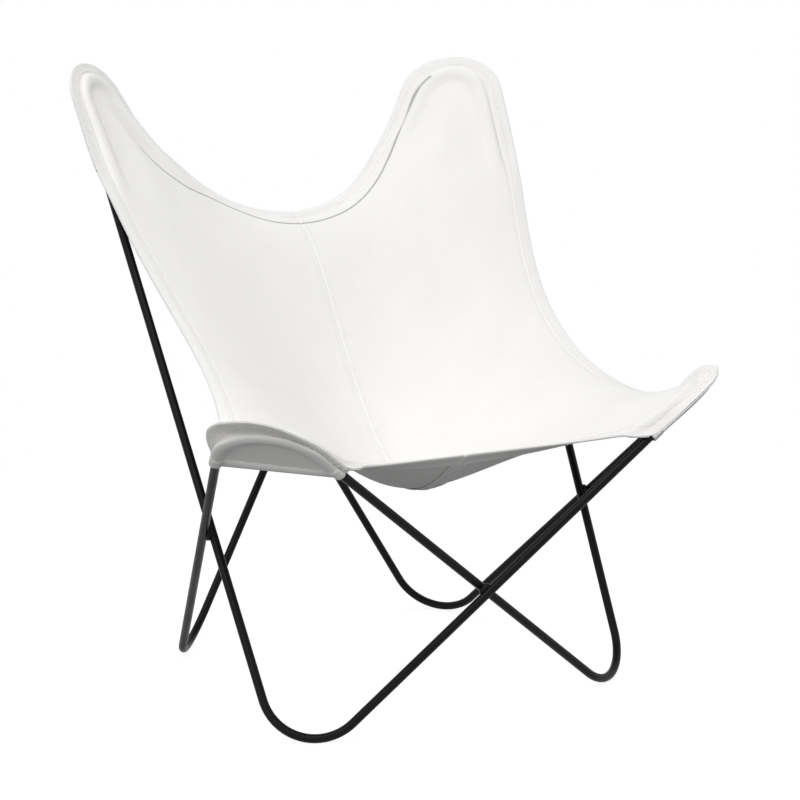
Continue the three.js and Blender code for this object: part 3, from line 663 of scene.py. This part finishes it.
def cotton_duck(name, sewn_line=None):
    """Cotton duck canvas: white, plain woven, matt with a soft nap. The sewn line is the stitched
    fold of
    the broad top hem: a bump pulls it in, and a painted shade darkens it to a soft grey line across
    the back.
    """
    material, tree = new_material(name)
    place = add_node(tree, "ShaderNodeUVMap", uv_map="flat").outputs["UV"]
    scale = 2 * math.pi / 20 / weave_step
    bands = [
        add_node(
            tree,
            "ShaderNodeTexWave",
            {"Vector": place, "Scale": scale, "Distortion": 0.6, "Detail Scale": 3.0},
            bands_direction=direction,
        ).outputs["Fac"]
        for direction in "XY"
    ]
    weave = add_node(tree, "ShaderNodeMath", {0: bands[0], 1: bands[1]}, operation="MULTIPLY")
    slubs = add_node(
        tree, "ShaderNodeTexNoise", {"Vector": place, "Scale": 1 / slub_length, "Detail": 4.0}
    )
    clouds = add_node(
        tree, "ShaderNodeTexNoise", {"Vector": place, "Scale": 1 / cloud_size, "Detail": 5.0}
    )
    height = add_node(
        tree,
        "ShaderNodeMath",
        {0: slubs.outputs["Fac"], 1: 0.8, 2: weave.outputs["Value"]},
        operation="MULTIPLY_ADD",
    ).outputs["Value"]
    colour = add_node(
        tree,
        "ShaderNodeMix",
        {"Factor": clouds.outputs["Fac"], "A": linear("#efeeec"), "B": linear("#f6f5f4")},
        data_type="RGBA",
    ).outputs["Result"]
    if sewn_line:
        across, along = zip(*((x * MM, y * MM) for x, y in sewn_line))
        left, right, deepest = across[0], across[-1], max(along)
        apart = add_node(tree, "ShaderNodeSeparateXYZ", {"Vector": place}).outputs
        share = add_node(
            tree, "ShaderNodeMapRange", {"Value": apart["X"], "From Min": left, "From Max": right}
        )
        curve = add_node(tree, "ShaderNodeFloatCurve", {"Value": share.outputs["Result"]})
        points = curve.mapping.curves[0].points
        for x, y in list(zip(across, along))[1:-1]:
            points.new((x - left) / (right - left), y / deepest)
        points[0].location = (0.0, along[0] / deepest)
        points[len(points) - 1].location = (1.0, along[-1] / deepest)
        curve.mapping.update()
        off = add_node(
            tree,
            "ShaderNodeMath",
            {0: curve.outputs["Value"], 1: -deepest, 2: apart["Y"]},
            operation="MULTIPLY_ADD",
        )
        gap = add_node(tree, "ShaderNodeMath", {0: off.outputs["Value"]}, operation="ABSOLUTE")
        inside = add_node(
            tree,
            "ShaderNodeMath",
            {0: apart["X"], 1: (left + right) / 2, 2: (right - left) / 2},
            operation="COMPARE",
        )
        near = add_node(
            tree,
            "ShaderNodeMapRange",
            {
                "Value": gap.outputs["Value"],
                "From Min": sewn_line_core,
                "From Max": sewn_line_edge,
                "To Min": 1.0,
                "To Max": 0.0,
            },
            interpolation_type="SMOOTHSTEP",
        )
        pulled_and_shaded = add_node(
            tree,
            "ShaderNodeMath",
            {0: near.outputs["Result"], 1: inside.outputs["Value"]},
            operation="MULTIPLY",
        ).outputs["Value"]
        height = add_node(
            tree,
            "ShaderNodeMath",
            {0: pulled_and_shaded, 1: sewn_line_depth, 2: height},
            operation="MULTIPLY_ADD",
        ).outputs["Value"]
        # Painted shade: along the sewn line the canvas colour is darkened to grey, in place of the
        # shadow in the pulled-in fold
        colour = add_node(
            tree,
            "ShaderNodeMix",
            {"Factor": pulled_and_shaded, "A": colour, "B": linear("#b2b0ac")},
            data_type="RGBA",
        ).outputs["Result"]
    woven = add_node(
        tree, "ShaderNodeBump", {"Height": height, "Strength": 0.35, "Distance": 0.0003}
    )
    nap = add_node(
        tree,
        "ShaderNodeBsdfPrincipled",
        {
            "Base Color": colour,
            "Roughness": 0.88,
            "IOR": 1.45,
            "Sheen Weight": 0.12,
            "Sheen Roughness": 0.5,
            "Normal": woven.outputs["Normal"],
        },
    )
    add_node(tree, "ShaderNodeOutputMaterial", {"Surface": nap.outputs["BSDF"]})
    return material


canvas_material = cotton_duck("cotton_duck_canvas")
panel_material = cotton_duck("cotton_duck_canvas_with_sewn_hem_and_painted_shade", top_hem_line)

# Bonded polyester sewing thread: off-white, twisted, with a low sheen that makes each stitch a
# small bright bead
ply_width = 1 / 2500  # 0.4 mm
thread_material, tree = new_material("polyester_sewing_thread")
place = add_node(tree, "ShaderNodeTexCoord").outputs["Object"]
ply = add_node(tree, "ShaderNodeTexNoise", {"Vector": place, "Scale": 1 / ply_width, "Detail": 1.0})
twist = add_node(
    tree, "ShaderNodeBump", {"Height": ply.outputs["Fac"], "Strength": 0.3, "Distance": 0.0001}
)
thread = add_node(
    tree,
    "ShaderNodeBsdfPrincipled",
    {"Base Color": linear("#e4e2dd"), "Roughness": 0.55, "Normal": twist.outputs["Normal"]},
)
add_node(tree, "ShaderNodeOutputMaterial", {"Surface": thread.outputs["BSDF"]})


def new_tree(name, inputs):
    """An empty node tree for a modifier, with its named inputs."""
    tree = bpy.data.node_groups.new(name, "GeometryNodeTree")
    tree.interface.new_socket("Geometry", in_out="INPUT", socket_type="NodeSocketGeometry")
    for label, kind, value in inputs:
        socket = tree.interface.new_socket(label, in_out="INPUT", socket_type=kind)
        if value is not None:
            socket.default_value = value
    tree.interface.new_socket("Geometry", in_out="OUTPUT", socket_type="NodeSocketGeometry")
    return tree, add_node(tree, "NodeGroupInput").outputs


def grown(name, source, tree, **inputs):
    """Runs a node tree on a source and keeps what it makes as a plain mesh."""
    modifier = source.modifiers.new(tree.name, "NODES")
    modifier.node_group = tree
    for item in tree.interface.items_tree:
        if item.item_type == "SOCKET" and item.in_out == "INPUT" and item.name in inputs:
            modifier[item.identifier] = inputs[item.name]
    evaluated = source.evaluated_get(bpy.context.evaluated_depsgraph_get())
    mesh = bpy.data.meshes.new_from_object(evaluated)
    bpy.data.objects.remove(source)
    mesh.name = name
    return placed(name, mesh)


def chain_object(name, chains, closed=False, **attributes):
    """A mesh of edges only, one chain for each line, with named values on its points."""
    points, edges = [], []
    for chain in chains:
        start = len(points)
        points.extend(chain)
        edges += [(start + k, start + k + 1) for k in range(len(chain) - 1)]
        if closed:
            edges.append((start + len(chain) - 1, start))
    mesh = bpy.data.meshes.new(name)
    mesh.from_pydata(((np.array(points) + OFFSET) * MM).tolist(), edges, [])
    for label, values in attributes.items():
        values = np.asarray(values, float)
        kind = "FLOAT" if values.ndim == 1 else "FLOAT_VECTOR"
        layer = mesh.attributes.new(label, kind, "POINT")
        layer.data.foreach_set("value" if values.ndim == 1 else "vector", values.ravel())
    return placed(name, mesh)


# The rod of a loop: the corners of its middle line are rounded, and a round section runs along it
rod_tree, given = new_tree(
    "bent_rod",
    [
        ("Rod Radius", "NodeSocketFloat", rod_radius * MM),
        ("Bend Steps", "NodeSocketInt", 28),
        ("Rod Sides", "NodeSocketInt", 36),
        ("Finish", "NodeSocketMaterial", None),
    ],
)
bend_radius = add_node(
    rod_tree, "GeometryNodeInputNamedAttribute", {"Name": "bend_radius"}, data_type="FLOAT"
)
corner_line = add_node(rod_tree, "GeometryNodeMeshToCurve", {"Mesh": given["Geometry"]})
rounded = add_node(
    rod_tree,
    "GeometryNodeFilletCurve",
    {
        "Curve": corner_line.outputs["Curve"],
        "Count": given["Bend Steps"],
        "Radius": bend_radius.outputs["Attribute"],
    },
    mode="POLY",
)
section = add_node(
    rod_tree,
    "GeometryNodeCurvePrimitiveCircle",
    {"Resolution": given["Rod Sides"], "Radius": given["Rod Radius"]},
)
swept = add_node(
    rod_tree,
    "GeometryNodeCurveToMesh",
    {"Curve": rounded.outputs["Curve"], "Profile Curve": section.outputs["Curve"]},
)
softened = add_node(rod_tree, "GeometryNodeSetShadeSmooth", {"Geometry": swept.outputs["Mesh"]})
whole = add_node(
    rod_tree, "GeometryNodeRealizeInstances", {"Geometry": softened.outputs["Geometry"]}
)
coated = add_node(
    rod_tree,
    "GeometryNodeSetMaterial",
    {"Geometry": whole.outputs["Geometry"], "Material": given["Finish"]},
)
add_node(rod_tree, "NodeGroupOutput", {"Geometry": coated.outputs["Geometry"]})

# A row of stitches: short pieces of thread at even steps along a line, each lying along the
# named direction
stitch_tree, given = new_tree(
    "stitch_row",
    [
        ("Stitch Step", "NodeSocketFloat", stitch_step * MM),
        ("Stitch Length", "NodeSocketFloat", stitch_length * MM),
        ("Thread Radius", "NodeSocketFloat", thread_radius * MM),
        ("Finish", "NodeSocketMaterial", None),
    ],
)
stitch_line_curve = add_node(stitch_tree, "GeometryNodeMeshToCurve", {"Mesh": given["Geometry"]})
stepped = add_node(
    stitch_tree,
    "GeometryNodeResampleCurve",
    {"Curve": stitch_line_curve.outputs["Curve"], "Length": given["Stitch Step"]},
    mode="LENGTH",
)
lie = add_node(
    stitch_tree, "GeometryNodeInputNamedAttribute", {"Name": "lie"}, data_type="FLOAT_VECTOR"
)
turned = add_node(
    stitch_tree,
    "FunctionNodeAlignRotationToVector",
    {"Vector": lie.outputs["Attribute"]},
    axis="Z",
)
bead = add_node(
    stitch_tree, "GeometryNodeMeshUVSphere", {"Segments": 6, "Rings": 4, "Radius": 1.0}
)
half_length = add_node(
    stitch_tree, "ShaderNodeMath", {0: given["Stitch Length"], 1: 0.5}, operation="MULTIPLY"
)
stretch = add_node(
    stitch_tree,
    "ShaderNodeCombineXYZ",
    {"X": given["Thread Radius"], "Y": given["Thread Radius"], "Z": half_length.outputs["Value"]},
)
stitch = add_node(
    stitch_tree,
    "GeometryNodeTransform",
    {"Geometry": bead.outputs["Mesh"], "Scale": stretch.outputs["Vector"]},
)
row_of_stitches = add_node(
    stitch_tree,
    "GeometryNodeInstanceOnPoints",
    {
        "Points": stepped.outputs["Curve"],
        "Instance": stitch.outputs["Geometry"],
        "Rotation": turned.outputs["Rotation"],
    },
)
real = add_node(
    stitch_tree,
    "GeometryNodeRealizeInstances",
    {"Geometry": row_of_stitches.outputs["Instances"]},
)
softened = add_node(
    stitch_tree, "GeometryNodeSetShadeSmooth", {"Geometry": real.outputs["Geometry"]}
)
threaded = add_node(
    stitch_tree,
    "GeometryNodeSetMaterial",
    {"Geometry": softened.outputs["Geometry"], "Material": given["Finish"]},
)
add_node(stitch_tree, "NodeGroupOutput", {"Geometry": threaded.outputs["Geometry"]})


def stitching(name, lines):
    """Rows of stitches, one along each line of points."""
    directions = [unit(np.gradient(line, axis=0)) for line in lines]
    source = chain_object(name + "_lines", lines, lie=np.vstack(directions))
    made = grown(name, source, stitch_tree, Finish=thread_material)
    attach(made, "root")
    return made


for number, corners in ((1, first_corners), (2, second_corners)):
    source = chain_object("rod_line", [corners], closed=True, bend_radius=np.array(bend_radii) * MM)
    rod = grown(f"rod_loop_{number}", source, rod_tree, Finish=rod_material)
    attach(rod, "root")
    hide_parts(f"frame_loop_{number}")

for place_name in ("front", "back", "left", "right"):
    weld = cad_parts[f"weld_{place_name}"]
    weld.data.materials.clear()
    weld.data.materials.append(rod_material)

# Panels of the sling
for side, part in (("left", slice(0, MIDDLE)), ("right", slice(MIDDLE, None))):
    panel = cloth_object(f"canvas_panel_{side}", finished[:, part], flat_cut[:, part])
    panel.data.materials.append(panel_material)
    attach(panel, "root")
    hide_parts(f"sling_{side}_panel")


def beside_seam(offsets, j, field):
    """Reads a field of the cloth in its row j at distances across from the seam."""
    return np.stack([np.interp(offsets, from_seam[j], field[j, :, k]) for k in range(3)], axis=-1)


# Tape that backs the seam, between the two cross hems
half_tape = seam_tape_width / 2
tape_offsets = np.array([-half_tape, -9.0, -5.0, -2.5, 0.0, 2.5, 5.0, 9.0, half_tape])
tape_end = hem_width + layer_step
tape_grid = np.array(
    [
        beside_seam(tape_offsets, j, finished)
        - beside_seam(tape_offsets, j, finished_normals) * (layer_step + tape_gap)
        for j in np.flatnonzero((seam_run > tape_end) & (seam_run < seam_length - tape_end))
    ]
)
tape_middle = tape_grid[:, len(tape_offsets) // 2]
tape_flat = flat_grid(tape_offsets, lengths_along(tape_middle)[:, None])
tape = cloth_object("seam_backing_tape", tape_grid, tape_flat)
tape.data.materials.append(canvas_material)
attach(tape, "root")
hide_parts("seam_tape")


# Columns and rows of cloth that are read beside a free edge
edge_depth = 40


def inward_lines(name):
    """For each free edge, its lines of cloth points, normals and distances from the edge, each
    led inwards."""
    sources = (finished, finished_normals, edge_gaps[name][0][..., None])
    if name == "back":
        return [np.swapaxes(s, 0, 1)[:, :edge_depth] for s in sources]
    if name == "front":
        return [np.swapaxes(s[::-1], 0, 1)[:, :edge_depth] for s in sources]
    if name == "left":
        return [s[:, :edge_depth] for s in sources]
    return [s[:, ::-1][:, :edge_depth] for s in sources]


def mouth_run(ear, leg, run):
    """How far the mouth of a pocket lies from the tip of its ear along the edge of the canvas."""
    return lengths_along(rim_line(ear, leg, 0.0))[-1] + run


back_ears, front_ears = (back_left, back_right), (front_left, front_right)
hem_ends = {
    "back": [mouth_run(ear, ear.free_leg, back_pocket_top_run) for ear in back_ears],
    "front": [mouth_run(ear, ear.free_leg, front_pocket_cross_run) for ear in front_ears],
}
for name, back, front in zip(("left", "right"), back_ears, front_ears):
    hem_ends[name] = [
        mouth_run(back, back.side_leg, back_pocket_side_run),
        mouth_run(front, front.side_leg, front_pocket_side_run),
    ]


def edge_strip(name, start, end, reaches, drops):
    """Rows of points beside a free edge, at distances inwards and offsets square to the cloth."""
    points, away, gaps = inward_lines(name)
    run = lengths_along(points[:, 0])
    inwards, beyond = np.maximum(reaches, 0), np.maximum(-np.asarray(reaches), 0)[:, None]
    strip = []
    for k in np.flatnonzero((run > start) & (run < run[-1] - end)):
        place, normal = (
            [np.interp(inwards, gaps[k, :, 0], source[k, :, axis]) for axis in range(3)]
            for source in (points, away)
        )
        out = unit(points[k, 0] - points[k, 2])
        strip.append(
            np.stack(place, axis=1)
            + np.stack(normal, axis=1) * np.asarray(drops)[:, None]
            + out * beyond
        )
    return np.array(strip)


# The hem's strip in section: how far in from the edge, and how far under the cloth
hem_reaches = np.array([-0.9, -0.4, 0.6, 3.0, 8.0, 13.0, 17.0, 19.0, 20.5, hem_width])
hem_drops = np.array([-0.9, -1.7, -2.3, -2.5, -2.5, -2.4, -2.25, -2.2, -2.25, -2.45])
for name, (start, end) in hem_ends.items():
    strip = edge_strip(name, start, end, hem_reaches, hem_drops)
    flat = flat_grid(lengths_along(strip[:, 3])[:, None], hem_reaches)
    hem = cloth_object(f"turned_hem_{name}", strip, flat)
    hem.data.materials.append(canvas_material)
    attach(hem, "root")
    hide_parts(f"hem_{name}")


def edge_rows(reach, height, ears_too):
    """Lines on the cloth beside each free edge."""
    lines = []
    for name, (start, end) in hem_ends.items():
        if ears_too:
            start, end = gather_pitch, gather_pitch
        strip = edge_strip(name, start, end, np.array([reach]), np.array([height]))
        lines.append(strip[:, 0])
    return lines


on_top = canvas_thickness / 2 + sewn_gap
hem_stitching = stitching("hem_stitching", edge_rows(stitch_line, on_top, False))
under_hem = np.interp(stitch_line, hem_reaches, hem_drops) - on_top
hem_back_stitching = stitching("hem_back_stitching", edge_rows(stitch_line, under_hem, False))
rim_stitching = stitching("rim_stitching", edge_rows(rim_stitch_line, on_top, True))
between_hems = np.flatnonzero((seam_run > stitch_line) & (seam_run < seam_length - stitch_line))
seam_lines = [
    np.array(
        [
            beside_seam(place, j, finished) + beside_seam(place, j, finished_normals) * on_top
            for j in between_hems
        ]
    )
    for place in (-seam_stitch_line, seam_stitch_line)
]
seam_stitching = stitching("seam_stitching", seam_lines)

# Pockets: where the crease lies out from the rod's middle line, how deep the rim puckers, and
# how tightly the wall is drawn round the rod towards the mouth
pocket_arc_steps, pocket_leg_steps, pocket_flat_steps = 40, 24, 18
flange_gap = canvas_thickness + 0.4
crease_offset, rim_pucker = 7.1, 1.6
mouth_draw, mouth_draw_from, mouth_draw_to, tight_wall = 0.85, 0.5, 0.95, 7.4
# The folded band that binds the mouth is fuller over the flat than where it passes the rod
binding_thickness, binding_bulge = 0.8, 2.2
bulge_from, bulge_to = 0.2, 0.4
binding_gap = (canvas_thickness + binding_thickness) / 2 + sewn_gap
binding_rows = np.linspace(0, binding_width, 7)


def pocket_stations(ear, leg, run, line):
    """Places along half an ear's rim: the rod's middle line, the way out from it, the edge of the
    canvas and how far along it they lie."""
    shares = np.linspace(0, 1, pocket_arc_steps + 1)[:, None]
    away = arc_directions(ear, leg, shares)
    rod = ear.centre + away * ear.radius
    downs = run * np.arange(1, pocket_leg_steps + 1)[:, None] / pocket_leg_steps
    rod = np.vstack([rod, rod[-1] + leg * downs])
    away = np.vstack([away, np.repeat(away[-1:], pocket_leg_steps, axis=0)])
    rim_radius = ear.radius + reach_at(ear, leg, shares)
    arc = lengths_along(ear.centre + rim_radius * away[: len(shares)])
    runs = np.concatenate([arc, arc[-1] + downs[:, 0]])
    return rod, away, along_line(line, runs), runs


flange_shares = np.array([0.0, 0.12, 0.35, 0.6, 0.82, 0.95])
# Section of a pocket, outwards from the rod's middle line and above it: a crease at the rim, a
# wall with a ridge round the rod, and the start of a hollow flat
pocket_section = np.array(
    [
        [7.3, -2.6],
        [8.0, -4.0],
        [10.2, -4.6],
        [11.6, -5.9],
        [11.1, -7.6],
        [9.1, -8.9],
        [6.0, -9.5],
        [2.4, -9.5],
        [-1.0, -8.6],
        [-4.2, -6.4],
        [-6.6, -4.2],
        [-10.0, -2.6],
    ]
)


def pocket_grid(ear, side_run, free_run, side_line, free_line):
    """Rows across a pocket: the rim under the edge of the canvas, the wall round the rod, the
    flat, and back."""
    halves = []
    from_rod = np.linalg.norm(pocket_section, axis=1)
    for leg, run, line in (
        (ear.side_leg, side_run, side_line),
        (ear.free_leg, free_run, free_line),
    ):
        rod, away, edge, runs = pocket_stations(ear, leg, run, line)
        bend = np.minimum(np.arange(len(runs)) / pocket_arc_steps, 1.0)
        towards_free = bend if leg is ear.free_leg else -bend
        lowering = rim_lowering(ear, np.full(len(runs), crease_offset), towards_free)
        most = (sheet_lift - lowering - flange_gap)[:, None]
        drawing = mouth_draw * smooth(runs / runs[-1], mouth_draw_from, mouth_draw_to)
        drawn = (tight_wall + (from_rod - tight_wall) * (1 - drawing)[:, None]) / from_rod
        heights = np.minimum(drawn * pocket_section[:, 1], most)
        outs = drawn * pocket_section[:, 0]
        wall = rod[:, None] + away[:, None] * outs[..., None] + ear.normal * heights[..., None]
        rim = edge - ear.normal * flange_gap
        inner = rod + away * crease_offset + ear.normal * most
        flange = inner[:, None] + (rim - inner)[:, None] * (1 - flange_shares)[:, None]
        pucker = np.sin(math.pi * flange_shares) * wave(runs, gather_pitch)[:, None]
        flange = flange - ear.normal * (rim_pucker * pucker)[..., None]
        halves.append(np.concatenate([flange, wall], axis=1))
    shares = np.linspace(0, 1, pocket_flat_steps + 1)[1:-1, None]
    rows_made = [
        np.vstack([side, side[-1] + (free[-1] - side[-1]) * shares, free[::-1]])
        for side, free in zip(*halves)
    ]
    return np.array(rows_made)


def merged(points, faces, reach=0.25):
    """Joins points that lie on one another, and drops what is left of the faces between them."""
    keys, order, kept = {}, [], []
    for point in points:
        key = tuple(np.round(point / reach).astype(int))
        if key not in keys:
            keys[key] = len(kept)
            kept.append(point)
        order.append(keys[key])
    cleaned = []
    for face in faces:
        corners = []
        for corner in (order[c] for c in face):
            if corner not in corners:
                corners.append(corner)
        if len(corners) > 2:
            cleaned.append(tuple(corners))
    return np.array(kept), cleaned, order


left_rim, right_rim = finished[:, 0], finished[:, -1]
back_rim, front_rim = finished[0], finished[-1]
pocket_lines = {
    "back_left": (left_rim, back_rim),
    "back_right": (right_rim, back_rim[::-1]),
    "front_left": (left_rim[::-1], front_rim),
    "front_right": (right_rim[::-1], front_rim[::-1]),
}
pocket_rows = []
for name, (ear, side_run, free_run) in ears.items():
    grid = pocket_grid(ear, side_run, free_run, *pocket_lines[name])
    rows_flat = np.stack([lengths_along(row) for row in grid])
    flat = flat_grid(rows_flat, lengths_along(grid[:, 0])[:, None])
    faces = grid_faces(*grid.shape[:2])
    # A face near the tip tells which way round the faces lie
    corner, across, along = grid[5, 0], grid[5, 1], grid[6, 0]
    if ear.normal @ np.cross(across - corner, along - corner) > 0:
        faces = [face[::-1] for face in faces]
    kept, cleaned, order = merged(grid.reshape(-1, 3), faces)
    kept_flat = np.zeros((len(kept), 2))
    kept_flat[order] = flat.reshape(-1, 2)
    points, faces, source = shell(kept, cleaned, canvas_thickness)
    pocket = mesh_object(f"ear_pocket_{name}", points, faces, kept_flat[source])
    pocket.data.materials.append(canvas_material)
    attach(pocket, "root")
    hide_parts(f"pocket_{name}")
    rim_columns = len(flange_shares)
    threads = grid[::-1, rim_columns:-rim_columns]
    band = [along_line(threads[:, k], binding_rows[::-1]) for k in range(threads.shape[1])]
    band = np.stack(band, axis=1)
    outside = grid_normals(band)
    if np.mean(outside @ ear.normal) > 0:
        outside = -outside
    bulge = binding_bulge * np.sin(math.pi * binding_rows / binding_width)[:, None]
    place = np.linspace(0, 1, band.shape[1])
    bulge = bulge * smooth(np.minimum(place, 1 - place), bulge_from, bulge_to)
    band = band + outside * (binding_gap + bulge)[..., None]
    rows_flat = np.stack([lengths_along(row) for row in band])
    band_flat = flat_grid(rows_flat, binding_rows[:, None])
    binding = cloth_object(f"mouth_binding_{name}", band, band_flat, binding_thickness)
    binding.data.materials.append(canvas_material)
    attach(binding, "root")
    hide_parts(f"binding_{name}")

    pocket_rows.append(np.vstack([grid[::-1, 2], grid[1:, -3]]) - ear.normal * on_top)
    mouth_row = band[0] + outside[0] * (binding_thickness / 2 + sewn_gap)
    wall_columns = len(pocket_section) - 2
    pocket_rows.append(mouth_row[wall_columns:-wall_columns])
stitching("pocket_stitching", pocket_rows)

# Floor and backdrop: white paper to the eye, which keeps a faint shadow near the chair and fades
# into the backdrop
shadow_near, shadow_far = 0.5, 1.6
floor_glow, ambient_light = 0.87, 0.65
floor_mesh = bpy.data.meshes.new("studio_floor")
span = 14.0
corners = [(-span, -span, 0), (span, -span, 0), (span, span, 0), (-span, span, 0)]
floor_mesh.from_pydata(corners, [], [(0, 1, 2, 3)])
floor = placed("studio_floor", floor_mesh)


def seen_share(tree):
    """1 for rays that see the backdrop straight or in a shiny surface, 0 for rays that light the
    object."""
    rays = add_node(tree, "ShaderNodeLightPath").outputs
    seen = rays["Is Camera Ray"]
    for kind in ("Is Glossy Ray", "Is Transmission Ray"):
        both = add_node(tree, "ShaderNodeMath", {0: seen, 1: rays[kind]}, operation="MAXIMUM")
        seen = both.outputs["Value"]
    return seen


floor_material, tree = new_material("white_studio_floor")
paper = add_node(tree, "ShaderNodeBsdfDiffuse", {"Color": linear("#7e7e7e")})
shadowed = add_node(tree, "ShaderNodeBsdfDiffuse", {"Color": linear("#8c8c8c")})
glow = add_node(tree, "ShaderNodeEmission", {"Color": linear("#ffffff"), "Strength": floor_glow})
lit = add_node(
    tree, "ShaderNodeAddShader", {0: shadowed.outputs["BSDF"], 1: glow.outputs["Emission"]}
)
white = add_node(tree, "ShaderNodeEmission", {"Color": linear("#ffffff"), "Strength": 1.0})
place = add_node(tree, "ShaderNodeTexCoord").outputs["Object"]
from_chair = add_node(tree, "ShaderNodeVectorMath", {0: place}, operation="LENGTH")
fade = add_node(
    tree,
    "ShaderNodeMapRange",
    {"Value": from_chair.outputs["Value"], "From Min": shadow_near, "From Max": shadow_far},
    interpolation_type="SMOOTHSTEP",
)
far = add_node(
    tree,
    "ShaderNodeMixShader",
    {"Fac": fade.outputs["Result"], 1: lit.outputs["Shader"], 2: white.outputs["Emission"]},
)
mixed = add_node(
    tree,
    "ShaderNodeMixShader",
    {"Fac": seen_share(tree), 1: paper.outputs["BSDF"], 2: far.outputs["Shader"]},
)
add_node(tree, "ShaderNodeOutputMaterial", {"Surface": mixed.outputs["Shader"]})
floor_mesh.materials.append(floor_material)

world = bpy.data.worlds.new("studio")
world.use_nodes = True
bpy.context.scene.world = world
tree = world.node_tree
tree.nodes.clear()
ambient, backdrop = (
    add_node(tree, "ShaderNodeBackground", {"Color": linear("#ffffff"), "Strength": strength})
    for strength in (ambient_light, 1.0)
)
mixed = add_node(
    tree,
    "ShaderNodeMixShader",
    {"Fac": seen_share(tree), 1: ambient.outputs["Background"], 2: backdrop.outputs["Background"]},
)
add_node(tree, "ShaderNodeOutputWorld", {"Surface": mixed.outputs["Shader"]})


def add_softbox(name, position, target, size, power):
    light = bpy.data.lights.new(name, "AREA")
    light.shape = "RECTANGLE"
    light.size, light.size_y = size
    light.energy = power
    lamp = placed(name, light)
    aim = (Vector(target) - Vector(position)).to_track_quat("-Z", "Y")
    lamp.matrix_world = Matrix.Translation(position) @ aim.to_matrix().to_4x4()


add_softbox("overhead_softbox", (-0.9, -0.9, 3.0), (0, 0, 0.4), (1.6, 1.6), 29.0)
add_softbox("front_softbox", (-3.0, -2.0, 1.9), (0, 0, 0.5), (1.2, 1.2), 18.0)

# Camera at the photograph's place, with its focal length and middle in pixels of an 800 px frame
yaw, pitch, roll = math.radians(29.947), math.radians(10.612), math.radians(-0.307)
focal, centre_x, centre_y, image_side = 2028.3, 402.64, 401.36, 800.0
sensor_width = 36.0
eye = Vector((-1.3979, -2.4812, 0.9267)) + Vector(OFFSET * MM)
forward = Vector(
    (math.sin(yaw) * math.cos(pitch), math.cos(yaw) * math.cos(pitch), -math.sin(pitch))
)
right = Vector((math.cos(yaw), -math.sin(yaw), 0))
up = right.cross(forward)
turned_right = right * math.cos(roll) + up * math.sin(roll)
turned_up = up * math.cos(roll) - right * math.sin(roll)
camera_data = bpy.data.cameras.new("camera")
camera_data.sensor_width = sensor_width
camera_data.lens = focal / image_side * sensor_width
camera_data.shift_x = (image_side / 2 - centre_x) / image_side
camera_data.shift_y = (centre_y - image_side / 2) / image_side
camera = placed("camera", camera_data)
axes = Matrix((turned_right, turned_up, -forward)).transposed()
camera.matrix_world = Matrix.Translation(eye) @ axes.to_4x4()
bpy.context.scene.camera = camera
bpy.context.scene.view_settings.view_transform = "Standard"
